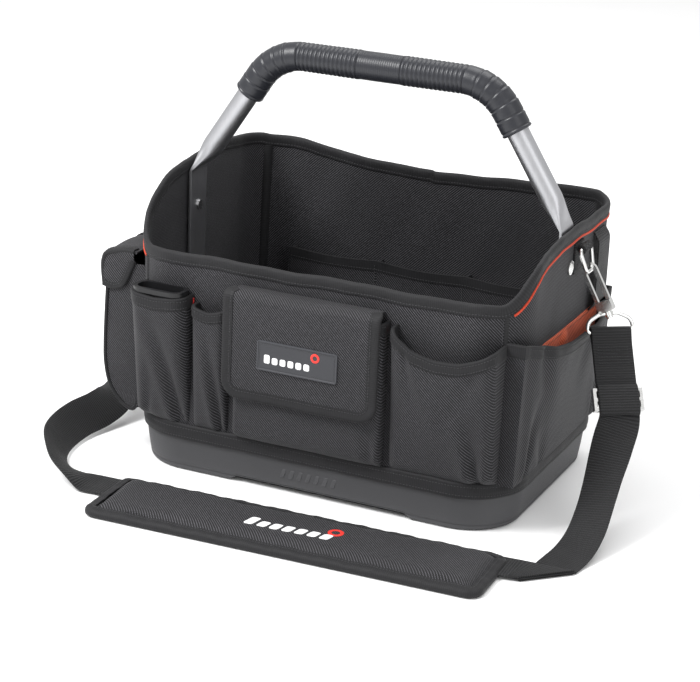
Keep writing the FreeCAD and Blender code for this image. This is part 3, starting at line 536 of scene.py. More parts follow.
def around(dim, s):
    """Point and outward normal on a rounded rectangle; s is the length from the middle of the front."""
    hx, hy, r = [np.broadcast_to(q, np.shape(s)).astype(float) for q in dim]
    s = np.asarray(s, float)
    Pm = 4 * (hx - r) + 4 * (hy - r) + 2 * PI * r
    s = np.mod(s + Pm / 2, Pm) - Pm / 2
    sg = np.where(s < 0, -1.0, 1.0)
    a = np.abs(s)
    L1, L2, q = hx - r, 2 * (hy - r), r * PI / 2
    x, y, nx, ny = [np.zeros_like(a) for _ in range(4)]
    c1 = a < L1
    c2 = (a >= L1) & (a < L1 + q)
    c3 = (a >= L1 + q) & (a < L1 + q + L2)
    c4 = (a >= L1 + q + L2) & (a < L1 + 2 * q + L2)
    c5 = a >= L1 + 2 * q + L2
    t2 = (a - L1) / r
    t4 = (a - L1 - q - L2) / r
    x = np.select([c1, c2, c3, c4, c5], [a, L1 + r * np.sin(t2), hx, L1 + r * np.cos(t4), L1 - (a - L1 - 2 * q - L2)])
    y = np.select([c1, c2, c3, c4, c5], [-hy, -(hy - r) - r * np.cos(t2), -(hy - r) + (a - L1 - q), (hy - r) + r * np.sin(t4), hy])
    nx = np.select([c1, c2, c3, c4, c5], [0 * a, np.sin(t2), 1 + 0 * a, np.cos(t4), 0 * a])
    ny = np.select([c1, c2, c3, c4, c5], [-1 + 0 * a, -np.cos(t2), 0 * a, np.sin(t4), 1 + 0 * a])
    return x * sg, y, nx * sg, ny


def seam_s(z):
    hx, hy, r = wdim(z)
    L1 = hx - r
    a = np.arcsin((SEAM - L1) / r)
    return L1 + r * a, L1 + r * PI / 2 + 2 * (hy - r) + r * (PI / 2 - a)


def ripple(x, y, z):
    """Small hollows and swells of the sewn walls; none where hardware is fixed."""
    u = x * 0.9 + y
    f = 0.9 * np.sin(u * 0.021 + 0.6) * np.sin(z * 0.03 + 0.4) + 0.55 * np.sin(u * 0.052 + z * 0.021) \
        + 0.3 * np.sin(u * 0.11 - z * 0.06 + 1.0)
    k = np.clip((z - 50) / 30.0, 0, 1)
    hard = np.exp(-(((y + 8) / 34.0) ** 4)) * (np.abs(x) > 150)
    tape_ = np.exp(-(((y - 50) / 55.0) ** 4)) * (np.abs(x) > 150) * (z > 150)
    return f * k * (1 - hard) * (1 - tape_)


def Wp(s, z, off=0.0):
    x, y, nx, ny = around(wdim(z), s)
    rp = ripple(x, y, np.asarray(z, float))
    o = off + rp
    return np.stack([x + nx * o, y + ny * o, np.broadcast_to(z, np.shape(x))], -1), np.stack([nx, ny, 0 * nx], -1)


PR = float(perim(wdim(250.0)))
S_TAB = np.linspace(-PR / 2, PR / 2, 1301)
_x, _y, _a, _b = around(wdim(250.0), S_TAB)
_z = np.where(np.abs(_x) > SEAM - 0.5, np.where(_x > 0, smooth_rim(RIM_R, _y), smooth_rim(RIM_L, _y)),
              np.where(_y < 0, RIM_F, smooth_rim(RIM_B, _x)))
kern = np.exp(-(np.arange(-14, 15) / 5.0) ** 2)
kern /= kern.sum()
_zs = np.convolve(np.concatenate([_z[-15:-1], _z, _z[1:15]]), kern, "same")[14:-14]
_zs = _zs + 0.5 * np.sin(S_TAB * 0.047) + 0.35 * np.sin(S_TAB * 0.113 + 1.0)


def rim_z(s):
    return np.interp(np.mod(np.asarray(s, float) + PR / 2, PR) - PR / 2, S_TAB, _zs)


def panel(name, which, rep):
    nz = 70
    ns = {"front": 150, "back": 150, "left": 130, "right": 130}[which]
    fr = np.linspace(0, 1, ns)
    S = np.zeros((ns, nz))
    Z = np.zeros((ns, nz))
    zt = np.full(ns, 250.0)
    for it in range(3):
        s1, s2 = seam_s(zt)
        Ph = perim(wdim(zt)) / 2
        if which == "front":
            st = -s1 + 2 * s1 * fr
        elif which == "right":
            st = s1 + (s2 - s1) * fr
        elif which == "left":
            st = -(s1 + (s2 - s1) * fr)
        else:
            st = s2 + (2 * Ph - 2 * s2) * fr
        zt = rim_z(st) - 0.3
    for j in range(nz):
        z = 37.0 + (zt - 37.0) * j / (nz - 1)
        s1, s2 = seam_s(z)
        Ph = perim(wdim(z)) / 2
        if which == "front":
            s = -s1 + 2 * s1 * fr
        elif which == "right":
            s = s1 + (s2 - s1) * fr
        elif which == "left":
            s = -(s1 + (s2 - s1) * fr)
        else:
            s = s2 + (2 * Ph - 2 * s2) * fr
        S[:, j], Z[:, j] = s, z
    P, Nn = Wp(S, Z)
    uv = np.stack([S, Z], -1)
    V, F, UV = shell_data(P, Nn, WT, uv=uv)
    # inside faces take the same twill cloth as the outside
    return add(name, V, F, M_FAB, uv=UV, rep=rep, slot="fabric")


panel("wall_front", "front", ["front_panel"])
panel("wall_back", "back", ["back_panel"])
panel("wall_left", "left", ["left_panel"])
panel("wall_right", "right", ["right_panel"])


def rim_frame(s):
    """Direction along the rim and up from it in the unrolled wall."""
    e = 1.0
    dz = (rim_z(s + e) - rim_z(s - e)) / (2 * e)
    k = 1.0 / np.sqrt(1 + dz * dz)
    return -dz * k, k          # unit normal (ds, dz)


def rim_point(s, d, off):
    """A point d below the rim line, measured square to it, and off from the outer face."""
    ns_, nz_ = rim_frame(s)
    return Wp(s - ns_ * d, rim_z(s) - nz_ * d, off)


def rim_sweep(name, s, prof, mat, rep, closed, slot, wob=0.0):
    rows, uvs = [], []
    w = np.concatenate([[0], np.cumsum(np.linalg.norm(np.diff(A(prof), axis=0), axis=1))])
    for j, (n_, d_) in enumerate(prof):
        wv = wob * (np.sin(s * 0.31 + d_) * 0.6 + np.sin(s * 0.83 + 2.0 * d_) * 0.4) if wob else 0.0
        P, _ = rim_point(s, d_, n_ + wv * (1 if n_ > -1.2 else -1))
        rows.append(P)
        uvs.append(np.stack([s, np.full_like(s, w[j])], -1))
    P = np.stack(rows, 1)
    n, k = P.shape[:2]
    F = []
    for i in range(n if closed else n - 1):
        for j in range(k):
            F.append((i * k + j, i * k + (j + 1) % k, ((i + 1) % n) * k + (j + 1) % k, ((i + 1) % n) * k + j))
    if not closed:
        F.append(tuple(range(k - 1, -1, -1)))
        F.append(tuple((n - 1) * k + j for j in range(k)))
    return add(name, P.reshape(-1, 3), F, mat, uv=np.stack(uvs, 1).reshape(-1, 2), rep=rep, slot=slot, sharp=60)


s_all = np.linspace(-PR / 2, PR / 2, 521)[:-1]
bind_prof = [(0.0, 11.4), (0.9, 11.0), (1.35, 9.6), (1.0, 8.4), (1.5, 6.5), (1.75, 4.0), (1.6, 1.6), (0.9, -0.2), (-0.4, -1.1),
             (-1.25, -1.3), (-2.1, -1.1), (-3.4, -0.2), (-4.1, 1.6), (-4.2, 4.0), (-4.0, 6.5), (-3.6, 8.4), (-3.8, 9.6), (-3.4, 11.0),
             (-2.5, 11.4), (-1.2, 9.0)]
rim_sweep("rim_binding_tape", s_all, bind_prof, M_BIND, ["rim_binding"], True, "binding", wob=0.22)
for off in (1.15,):
    P, Nn = rim_point(np.linspace(-PR / 2, PR / 2, 700), 8.4, off)
    stitch(P, Nn)
P, Nn = rim_point(np.linspace(-PR / 2, PR / 2, 700), 8.4, -3.65)
stitch(P, -Nn)
a0 = np.linspace(0, 2 * PI, 11)[:-1]
for sgn, side in ((-1, "left"), (1, "right")):
    s1, s2 = [float(q) for q in seam_s(225.0)]
    sp = np.linspace(s1, s2, 190)
    if sgn < 0:
        sp = -sp
    prof = [(0.7 + 1.25 * math.cos(t), 12.3 + 1.25 * math.sin(t)) for t in a0]
    rim_sweep("piping_tube_" + side, sp, prof, M_PIPE, ["piping_" + side], False, "piping")

# raised seams at the four corners
for k_, s_sel in enumerate((0, 1)):
    for sgn in (-1, 1):
        z = np.linspace(48.0, float(rim_z(sgn * seam_s(240.0)[s_sel])) - 11.0, 60)
        s = sgn * seam_s(z)[s_sel]
        P, Nn = Wp(s, z)
        T = unit(np.gradient(P, axis=0))
        S2 = unit(np.cross(T, Nn))
        prof = [(1.7 * math.cos(t) if abs(math.cos(t)) < 0.99 else 2.2 * math.cos(t), 0.95 * math.sin(t) + 0.15) for t in a0]
        V, F, UV = sweep_data(P, S2, Nn, prof)
        o = add("corner_seam_%d_%s" % (k_, "left" if sgn < 0 else "right"), V, F, M_BIND, uv=UV[:, ::-1], slot="binding", sharp=70)
        for e in (-1, 1):
            stitch(P + S2 * 3.4 * e, Nn)
        # inside cover of the same seam
        Pi = P - Nn * (WT + 0.2)
        prof = [(-5, 0.3), (-4.6, -0.7), (0, -1.2), (4.6, -0.7), (5, 0.3)]
        V, F, UV = sweep_data(Pi, S2, Nn, prof)
        add("inner_seam_tape_%d_%s" % (k_, "left" if sgn < 0 else "right"), V, F, M_BIND, uv=UV[:, ::-1], slot="binding", sharp=70)

# trim band over the joint of tub and walls
sb = np.linspace(0, 1, 641)[:-1]


def ring_at(dim, off, z, n=640):
    Pm = float(perim(dim))
    s = np.linspace(-Pm / 2, Pm / 2, n + 1)[:-1]
    x, y, nx, ny = around(dim, s)
    return np.stack([x + nx * off, y + ny * off, np.broadcast_to(z, x.shape)], -1), np.stack([nx, ny, 0 * nx], -1), s


def ring_loft(name, rows, mat, cap0=False, cap1=False, **kw):
    """rows of (dim, offset, z array or value) joined into one skin."""
    P, uvs = [], []
    acc = 0.0
    last = None
    for dim, off, z in rows:
        p, n_, s = ring_at(dim, off, z)
        if last is not None:
            acc += float(np.linalg.norm(p - last, axis=1).mean())
        last = p
        P.append(p)
        uvs.append(np.stack([s, np.full_like(s, acc)], -1))
    P = np.stack(P, 0)
    a, b = P.shape[:2]
    F = []
    for i in range(a - 1):
        for j in range(b):
            F.append((i * b + j, i * b + (j + 1) % b, (i + 1) * b + (j + 1) % b, (i + 1) * b + j))
    if cap0:
        F.append(tuple(range(b)))
    if cap1:
        F.append(tuple((a - 1) * b + j for j in range(b)))
    if not (cap0 or cap1):
        i = a - 1
        for j in range(b):
            F.append((i * b + j, i * b + (j + 1) % b, (j + 1) % b, j))
    return add(name, P.reshape(-1, 3), F, mat, uv=np.stack(uvs, 0).reshape(-1, 2), **kw)


wob_b = lambda z, amp, ph=0.0: z + amp * np.sin(np.linspace(0, 2 * PI * 14, 641)[:-1] + ph) + amp * 0.6 * np.sin(np.linspace(0, 2 * PI * 37, 641)[:-1])
w37 = TUB_T_
ring_loft("trim_band_tape", [(w37, 0.3, wob_b(35.2, 0.25)), (w37, 1.8, wob_b(35.0, 0.25)), (w37, 2.8, wob_b(36.4, 0.25)), (w37, 2.5, wob_b(38.4, 0.2)),
                             (w37, 3.5, wob_b(41.0, 0.2)), (w37, 3.7, wob_b(44.0, 0.2)), (w37, 2.9, wob_b(47.4, 0.2)), (w37, 3.6, wob_b(49.4, 0.25)),
                             (w37, 3.1, wob_b(51.2, 0.35)), (w37, 1.6, wob_b(52.0, 0.35)), (w37, -0.6, wob_b(50.4, 0.3))],
          M_BIND, rep=["trim_band"], slot="binding", sharp=60)
for zz, oo in ((38.4, 2.6), (47.4, 3.0)):
    p, n_, s = ring_at(w37, oo, zz)
    stitch(np.vstack([p, p[:1]]), np.vstack([n_, n_[:1]]))

# ---------------------------------------------------------------- base tub
RX0, RX1, RH = -88.0, 108.0, 5.5


def relief(x, y):
    f = np.clip((x - RX0) / 9.0, 0, 1) * np.clip((RX1 - x) / 8.0, 0, 1)
    return RH * f * (np.abs(y) > 120)


def tub_row(z, off):
    p, n_, s = ring_at([float(q) for q in tdim(z)], off, z)
    return ([float(q) for q in tdim(z)], off, np.maximum(z, relief(p[:, 0], p[:, 1]) + z * 0.35))


rows = [([float(q) for q in tdim(0)], -11.0, 0.0), tub_row(0.0, -3.4), tub_row(0.5, -1.7), tub_row(1.5, -0.6), tub_row(3.0, -0.1),
        tub_row(4.2, 0.0), tub_row(4.9, -0.55), tub_row(5.8, -0.6), tub_row(6.4, -0.05)]
for z in np.linspace(9.0, 36.0, 8):
    rows.append(([float(q) for q in tdim(z)], 0.35 * math.sin((z - 6.4) / 30.0 * PI), z))
rows += [([float(q) for q in tdim(36.9)], -0.3, 36.9), ([float(q) for q in tdim(37)], -2.7, 37.0), ([float(q) for q in tdim(36)], -3.0, 36.0),
         ([float(q) for q in tdim(12)], -3.0, 12.0), ([float(q) for q in tdim(6.5)], -4.5, 7.0), ([float(q) for q in tdim(5)], -8.5, 6.0)]
ring_loft("tub_shell", rows, M_TUB, cap0=True, cap1=True, rep=["base_tub"], slot="tub", sharp=50)


def puck(name, origin, ex, ey, ez, w, h, r, layers, mat, body="bag", slot=None, rep=(), n=7, bend=None):
    """Stack of rounded rectangles (inset, height) with a flat cap both ends."""
    V, F = [], []
    k = 4 * n
    for ins, ht in layers:
        hw, hh, rr = w / 2 - ins, h / 2 - ins, max(r - ins, 0.15)
        for c, (sx, sy) in enumerate(((1, -1), (1, 1), (-1, 1), (-1, -1))):
            for q in range(n):
                t = -PI / 2 + c * PI / 2 + (PI / 2) * q / (n - 1)
                a_, b_ = sx * (hw - rr) + rr * math.cos(t), sy * (hh - rr) + rr * math.sin(t)
                V.append(origin + ex * a_ + ey * b_ + ez * ht)
    L = len(layers)
    for i in range(L - 1):
        for j in range(k):
            F.append((i * k + j, i * k + (j + 1) % k, (i + 1) * k + (j + 1) % k, (i + 1) * k + j))
    F.append(tuple(range(k - 1, -1, -1)))
    F.append(tuple((L - 1) * k + j for j in range(k)))
    V = np.array(V)
    uv = np.stack([(V - origin) @ ex, (V - origin) @ ey], -1)
    return add(name, V, F, mat, uv=uv, body=body, slot=slot, rep=rep, sharp=35)


X, Y, Z_ = A([1.0, 0, 0]), A([0, 1.0, 0]), A([0, 0, 1.0])
# plain slanted ribs stand where the tub carries a moulded word
for i in range(7):
    x = -27.0 + 9.0 * i
    zc = 21.0
    y = -float(tdim(zc)[1]) - 0.3
    puck("tub_rib_%d" % i, A([x, y, zc]), unit(A([1, 0, 0.0])), unit(A([0.35, -0.05, 1.0])), A([0, -1.0, 0]), 4.4, 10.0, 1.2,
         [(0, -0.6), (0.0, 0.25), (0.5, 0.6)], M_TUB, slot="tub", n=4)


# ------------------------------------------------------------ front pockets
def crease(x, z, xa, za, xb, zb, w, depth):
    """Soft fold along a line from (xa, za) to (xb, zb), deepest at its start, fading to its far end."""
    d = A([xb - xa, zb - za])
    L = np.hypot(*d)
    d = d / L
    t = (x - xa) * d[0] + (z - za) * d[1]
    f = np.clip(t / L, 0, 1)
    q = (x - xa) * -d[1] + (z - za) * d[0] + 2.2 * np.sin(f * 3.0)
    fade = np.clip(1 - f, 0, 1) ** 0.8 * np.clip((t + 8) / 8, 0, 1)
    ww = w * (0.75 + 0.9 * f)
    side = 0.38 * depth * fade * np.exp(-((q - 1.7 * ww) / (1.1 * ww)) ** 2)
    return -depth * fade * np.exp(-(q / ww) ** 2) + side


def wall_y(x, z):
    hx, hy, r = wdim(z)
    L1 = hx - r
    ax = np.clip(np.abs(x) - L1, 0, r * 0.999)
    return -((hy - r) + np.sqrt(r * r - ax * ax))


def wall_x(y, z):
    hx, hy, r = wdim(z)
    L2 = hy - r
    ay = np.clip(np.abs(y) - L2, 0, r * 0.999)
    return (hx - r) + np.sqrt(r * r - ay * ay)


class Pocket:
    """Fabric pocket on the front or back wall, with a U-shaped plan."""

    def __init__(self, x0, x1, z0, mouth, yf0, yf1, r, disp=None, sgn=1.0, zref=190.0, gather=0.0, tuck=True):
        self.__dict__.update(locals())
        nf = max(14, int((x1 - x0) / 2.6))
        self.q = [("s0", t) for t in np.linspace(0, 1, 5)[:-1]] + [("a0", t) for t in np.linspace(0, 1, 8)[:-1]] + \
                 [("f", t) for t in np.linspace(0, 1, nf)[:-1]] + [("a1", t) for t in np.linspace(0, 1, 8)[:-1]] + [("s1", t) for t in np.linspace(0, 1, 5)]

    def xnom(self):
        out = []
        for k, t in self.q:
            if k == "s0":
                out.append(self.x0)
            elif k == "a0":
                out.append(self.x0 + self.r * (1 - math.cos(t * PI / 2)))
            elif k == "f":
                out.append(self.x0 + self.r + t * (self.x1 - self.x0 - 2 * self.r))
            elif k == "a1":
                out.append(self.x1 - self.r * (1 - math.sin(t * PI / 2)))
            else:
                out.append(self.x1)
        return A(out)

    def surf(self, drop):
        """Rows of points; drop[i] maps row to distance under the mouth (or fraction)."""
        xn = self.xnom()
        mz = self.mouth(xn)
        cols = []
        for f in drop:
            z = mz - f if not isinstance(f, tuple) else self.z0 + (mz - self.z0) * f[0]
            k = (z - self.z0) / (self.zref - self.z0)
            yf = self.yf0 + (self.yf1 - self.yf0) * k
            yw = wall_y(xn, z) + 1.2
            P = np.zeros((len(xn), 3))
            for i, (kk, t) in enumerate(self.q):
                x, y = xn[i], yf[i]
                r = self.r
                if kk == "s0":
                    y = yw[i] + (yf[i] + r - yw[i]) * t
                elif kk == "a0":
                    y = yf[i] + r * (1 - math.sin(t * PI / 2))
                elif kk == "a1":
                    y = yf[i] + r * (1 - math.cos(t * PI / 2))
                elif kk == "s1":
                    y = (yf[i] + r) + (yw[i] - yf[i] - r) * t
                P[i] = (x, y, z[i])
            if self.disp is not None:
                u = (xn - self.x0) / (self.x1 - self.x0)
                hh = (z - self.z0) / np.maximum(mz - self.z0, 1)
                edge = np.clip(np.minimum(u, 1 - u) * (self.x1 - self.x0) / 6.0, 0, 1)
                dy, dx, dz = self.disp(xn, z, u, hh)
                P[:, 1] -= dy * edge
                P[:, 0] += dx
                P[:, 2] += dz * edge
            g = np.clip((z - self.z0) / 13.0, 0, 1)
            g = 0.12 + 0.88 * g * (2 - g)
            P[:, 1] = np.minimum(yw + (P[:, 1] - yw) * g, yw + 0.0 * g) if self.tuck else P[:, 1]
            cols.append(P)
        G = np.stack(cols, 1)
        G[..., 1] *= self.sgn
        return G


def build_pocket(name, pk, rep, hem=10.5, mat=None, hem_rows=(2.3, 8.6), inner=None):
    tw = A([0, -1.0 * pk.sgn, 0])
    rows = [(t,) for t in np.linspace(0, 1, 44)]
    P = pk.surf(rows)
    shell(name, P, 1.6, mat or M_FABG, tw, rep=rep, slot="fabric")
    # the hem is a folded tape over the mouth
    dd = [hem + 0.4, hem, hem - 1.5, hem * 0.6, hem * 0.35, 2.4, 1.0, 0.0, -0.7]
    lift = [0.1, 0.7, 0.95, 1.15, 1.1, 0.85, 1.1, 0.9, 0.2]
    G = pk.surf(dd)
    Nn = norms(G, tw)
    up = G + Nn * A(lift)[None, :, None]
    V, F, UV = shell_data(up, Nn, np.broadcast_to(A(lift)[None, :] * 2 + 1.6, G.shape[:2]))
    add(name + "_hem", V, F, M_BIND, uv=UV, slot="binding", sharp=55)
    for d in hem_rows:
        Q = pk.surf([d + 0.05, d, d - 0.05])
        Nq = norms(Q, tw)
        stitch(Q[4:-4, 1] + Nq[4:-4, 1] * 1.15, Nq[4:-4, 1])
    return P


def lin(pts):
    xs, zs = A([p[0] for p in pts]), A([p[1] for p in pts])
    tt = np.linspace(xs[0], xs[-1], 160)
    zz = np.interp(tt, xs, zs)
    k = np.exp(-(np.arange(-12, 13) / 6.0) ** 2)
    k /= k.sum()
    zz2 = np.convolve(np.concatenate([np.full(12, zz[0]), zz, np.full(12, zz[-1])]), k, "same")[12:-12]
    return lambda x: np.interp(x, tt, zz2)


kb, nb, fb, rb = B("knife_pocket"), B("narrow_pocket"), B("flap_pocket"), B("front_right_pocket")


def d_knife(x, z, u, h):
    dy = 1.2 * np.sin(PI * u) * h + crease(x, z, kb[3] - 6, 40, kb[0] + 20, 172, 5.5, 8.5) + crease(x, z, kb[0] + 13, 48, kb[0] + 17, 120, 4.0, 2.6) \
        + 0.7 * np.sin(z * 0.06 + x * 0.05) - 3.0 * (1 - h) ** 2
    return dy, 0 * x, 0 * x


def d_narrow(x, z, u, h):
    dy = 2.2 * np.sin(PI * u) * np.sin(PI * np.clip(h, 0, 1)) + crease(x, z, nb[3] - 5, 40, nb[0] + 14, 164, 4.2, 6.5) + 0.5 * np.sin(z * 0.07)
    return dy, 0 * x, -1.2 * np.sin(PI * u) * h ** 4


def d_flapp(x, z, u, h):
    dy = 1.5 * np.sin(PI * u) * np.sin(PI * np.clip(h, 0, 1)) - 0.9 * (1 - h) ** 2 * np.cos(x * 0.08) + crease(x, z, fb[3] - 8, 44, fb[3] - 16, 110, 5.0, 3.0) \
        + 0.4 * np.sin(z * 0.1 + x * 0.03)
    return dy, 0 * x, 0 * x


def d_right(x, z, u, h):
    dy = 2.6 * np.sin(PI * u) * h ** 0.7 + 2.0 * np.sin(PI * u) ** 2 * np.exp(-((h - 0.45) / 0.35) ** 2) \
        + crease(x, z, rb[3] - 14, 40, rb[3] - 26, 122, 5.0, 9.5) + crease(x, z, rb[0] + 16, 170, rb[0] + 34, 104, 5.0, 2.8) \
        + crease(x, z, rb[3] - 20, 160, rb[3] - 46, 92, 8.0, 2.0) + 0.7 * np.sin(x * 0.06 + z * 0.05)
    return dy, 0 * x, -0.6 * np.sin(PI * u) * h ** 4


build_pocket("knife_pocket_cloth", Pocket(kb[0], kb[3], 49.5, lin([(kb[0], 187), (-160, 183.5), (kb[3], 186)]), -149.0, -165.0, 12.0, d_knife, zref=186.0),
             ["knife_pocket"], hem=12.0, hem_rows=(2.4, 9.4))
build_pocket("narrow_pocket_cloth", Pocket(nb[0], nb[3], 49.5, lin([(nb[0], 179), (-106, 175.5), (nb[3], 179)]), -147.0, -156.0, 7.0, d_narrow, zref=178.0),
             ["narrow_pocket"])
build_pocket("flap_pocket_cloth", Pocket(fb[0], fb[3], 49.5, lin([(fb[0], 196), (0, 195), (fb[3], 196)]), -155.6, -156.2, 6.0, d_flapp, zref=196.0),
             ["flap_pocket"])
MOUTH_R = [(80, 197), (92, 188), (108, 177), (130, 172), (155, 173), (174, 180), (192, 190)]
build_pocket("right_pocket_cloth", Pocket(rb[0], rb[3], 49.5, lin(MOUTH_R), -147.0, -158.0, 9.0, d_right, zref=180.0),
             ["front_right_pocket"], hem=12.0, hem_rows=(2.4, 9.4))

bb = B("back_pocket")


def d_back(x, z, u, h):
    dy = 3.0 * np.sin(PI * u) * h + crease(x, z, -110, 50, -96, 120, 4.0, 3.0) + crease(x, z, 104, 50, 96, 126, 4.0, 3.4) \
        + crease(x, z, -8, 176, 4, 120, 6.0, 1.6) + 0.6 * np.sin(x * 0.045 + z * 0.04)
    return dy, 0 * x, -2.0 * np.sin(PI * u) * h ** 4


build_pocket("back_pocket_cloth", Pocket(bb[0], bb[3], 49.5, lin([(-160, 186), (-90, 181), (0, 178), (90, 181), (160, 186)]), -147.5, -155.0, 9.0, d_back,
                                         sgn=-1.0, zref=187.0), ["back_pocket"], hem=12.0, hem_rows=(2.4, 9.4))

# -------------------------------------------------------------- side pocket
MR = lin([(-130, 191), (-112, 187), (-92, 181), (-60, 174), (-20, 168), (40, 166), (90, 170), (130, 182)])


def side_rows(drop, n=110):
    yy = np.concatenate([np.full(4, -126.0), np.linspace(-126, 126, n), np.full(4, 126.0)])
    tt = np.concatenate([np.linspace(0, 1, 5)[:-1], np.ones(n), np.linspace(1, 0, 5)[1:]])
    cols = []
    mz = MR(yy)
    for f in drop:
        z = mz - f if not isinstance(f, tuple) else 49.5 + (mz - 49.5) * f[0]
        k = (z - 50) / 145.0
        yb, xb = [-126, -90, -40, 40, 90, 126], [204, 204.3, 204.6, 204.6, 204.3, 204]
        yt, xt = [-126, -96, -45, 45, 96, 126], [206, 217, 224.5, 224.5, 217, 206]
        full = np.interp(yy, yb, xb) + (0.5 * (np.interp(yy - 8, yt, xt) + np.interp(yy + 8, yt, xt)) - np.interp(yy, yb, xb)) * np.clip(k, 0, 1)
        u = (yy + 126) / 252.0
        e = np.clip(np.minimum(u, 1 - u) * 252 / 9.0, 0, 1)
        d = 0.9 * np.sin(PI * u) + crease(yy, z, -100, 40, -84, 132, 6.5, 8.5) + crease(yy, z, -92, 180, -62, 96, 9.0, 4.5) \
            + crease(yy, z, -52, 48, -82, 110, 8.0, 3.0) + crease(yy, z, 30, 166, 12, 104, 12.0, 2.2) + crease(yy, z, 96, 48, 84, 128, 6.0, 4.0) \
            + 0.8 * np.sin(yy * 0.05 + z * 0.03)
        full = full + d * e * np.clip((z - 49) / 14.0, 0, 1) ** 0.5 * 1.0
        wx = wall_x(yy, z) - 1.0
        x = wx + (np.maximum(full, wall_x(yy, z) + 0.9) - wx) * tt
        cols.append(np.stack([x, yy, z], -1))
    return np.stack(cols, 1)


shell("side_pocket_cloth", side_rows([(t,) for t in np.linspace(0, 1, 44)]), 1.6, M_FAB, X, rep=["side_pocket_right"], slot="fabric")
dd = [12.4, 12.0, 10.5, 7.0, 4.5, 2.4, 1.0, 0.0, -0.7]
lift = A([0.1, 0.7, 0.95, 1.15, 1.1, 0.85, 1.1, 0.9, 0.2])
G = side_rows(dd)
Nn = norms(G, X)
V, F, UV = shell_data(G + Nn * lift[None, :, None], Nn, np.broadcast_to(lift[None, :] * 2 + 1.6, G.shape[:2]))
add("side_pocket_hem", V, F, M_BIND, uv=UV, slot="binding", sharp=55)
for d in (2.4, 9.4):
    Q = side_rows([d + 0.05, d, d - 0.05])
    Nq = norms(Q, X)
    stitch(Q[5:-5, 1] + Nq[5:-5, 1] * 1.15, Nq[5:-5, 1])

RIV_Y, RIV_Z = -8.0, 160.0
# lining inside that pocket, standing a little proud of the wall
yy = np.linspace(-92, 92, 70)
zz = np.linspace(120, 174, 30)
YY, ZZ = np.meshgrid(yy, zz, indexing="ij")
PX = wall_x(YY, ZZ) + 0.9 + 2.6 * np.exp(-((((YY - RIV_Y) ** 2 + (ZZ - RIV_Z) ** 2) / 95.0) ** 2)) + ripple(wall_x(YY, ZZ), YY, ZZ) + 0.25 * np.sin(YY * 0.1 + ZZ * 0.07) * (1 - np.exp(-(((YY + 8) / 30.0) ** 4)))
shell("side_pocket_lining_cloth", np.stack([PX, YY, ZZ], -1), 0.8, M_LINE, X, rep=["side_pocket_lining"], slot="lining")
stitch(np.stack([wall_x(yy, 170.5) + 1.0, yy, np.full_like(yy, 170.5)], -1), X)

# -------------------------------------------------------------- front flap
FX0, FX1, FZ0 = -85.0, 75.5, 99.0
prof_f = A([(-140.2, 204.6), (-146, 204.9), (-152, 204.7), (-157, 204.0), (-160.4, 202.4), (-162.4, 199.6), (-163.0, 196.5), (-163.2, 190.0),
            (-163.2, 150.0), (-163.0, 99.0)])
fine = catmull(np.hstack([prof_f, np.zeros((len(prof_f), 1))]), 0.8)[:, :2]
fs = np.concatenate([[0], np.cumsum(np.linalg.norm(np.diff(fine, axis=0), axis=1))])
FL = fs[-1]


def flap_pt(x, w):
    """Point on the flap's outer face: x along the bag, w the length from its hinge seam."""
    w = np.clip(w, 0, FL)
    y = np.interp(w, fs, fine[:, 0])
    z = np.interp(w, fs, fine[:, 1])
    free = np.clip((w - 25.0) / 60.0, 0, 1)
    y = y - 0.7 * np.sin(PI * (x - FX0) / (FX1 - FX0)) * free * np.sin(w * 0.05) + 0.35 * np.sin(x * 0.075 + w * 0.03) * free
    z = z - 0.8 * free ** 2 * np.sin(PI * (x - FX0) / (FX1 - FX0)) * (w / FL) * 0 - 0.7 * np.cos((x + 2) * 0.05) * (1 - free) * np.clip(w / 12, 0, 1)
    return np.stack([x, y, z], -1)


RC, CH = 18.0, 9.0


def flap_edge(w):
    """Left and right edges at a distance from the hinge."""
    d = FL - w
    ins = np.where(d < RC, RC - np.sqrt(np.maximum(RC * RC - (RC - d) ** 2, 0)), 0.0)
    up = np.clip((CH - (w - 8.0)) / CH, 0, 1) * CH * 0.75
    return FX0 + np.maximum(ins, up), FX1 - np.maximum(ins, up * 0.6)


wr = np.concatenate([np.linspace(0, FL - RC, 46), FL - RC + RC * np.sin(np.linspace(0, PI / 2, 14))[1:]])
ux = np.linspace(0, 1, 66)
xl, xr = flap_edge(wr)
XX = xl[None, :] + (xr - xl)[None, :] * ux[:, None]
WW = np.broadcast_to(wr[None, :], XX.shape)
P = flap_pt(XX, WW)
Nn = norms(P, A([0, -1.0, 0.15]))
V, F, UV = shell_data(P, Nn, 1.7, uv=np.stack([XX, -WW], -1))
add("front_flap_cloth", V, F, M_FAB, uv=UV, body="front_flap", rep=["front_flap"], slot="fabric")

# bound edge of the flap: a folded tape that follows the outline
edge = []
for w in np.linspace(10.0, FL - RC, 40):
    l, r_ = flap_edge(A([w]))
    edge.append((l[0], w))
for t in np.linspace(0, PI / 2, 12)[1:]:
    edge.append((FX0 + RC - RC * math.cos(t), FL - RC + RC * math.sin(t)))
for x in np.linspace(FX0 + RC, FX1 - RC, 44)[1:-1]:
    edge.append((x, FL))
for t in np.linspace(PI / 2, 0, 12):
    edge.append((FX1 - RC + RC * math.cos(t), FL - RC + RC * math.sin(t)))
for w in np.linspace(FL - RC, 10.0, 40)[1:]:
    l, r_ = flap_edge(A([w]))
    edge.append((r_[0], w))
edge = A(edge)
T2 = unit(np.gradient(edge, axis=0))
I2 = np.stack([T2[:, 1], -T2[:, 0]], -1)
cen = A([(FX0 + FX1) / 2, FL / 2])
if ((cen - edge[len(edge) // 2]) * I2[len(edge) // 2]).sum() < 0:
    I2 = -I2


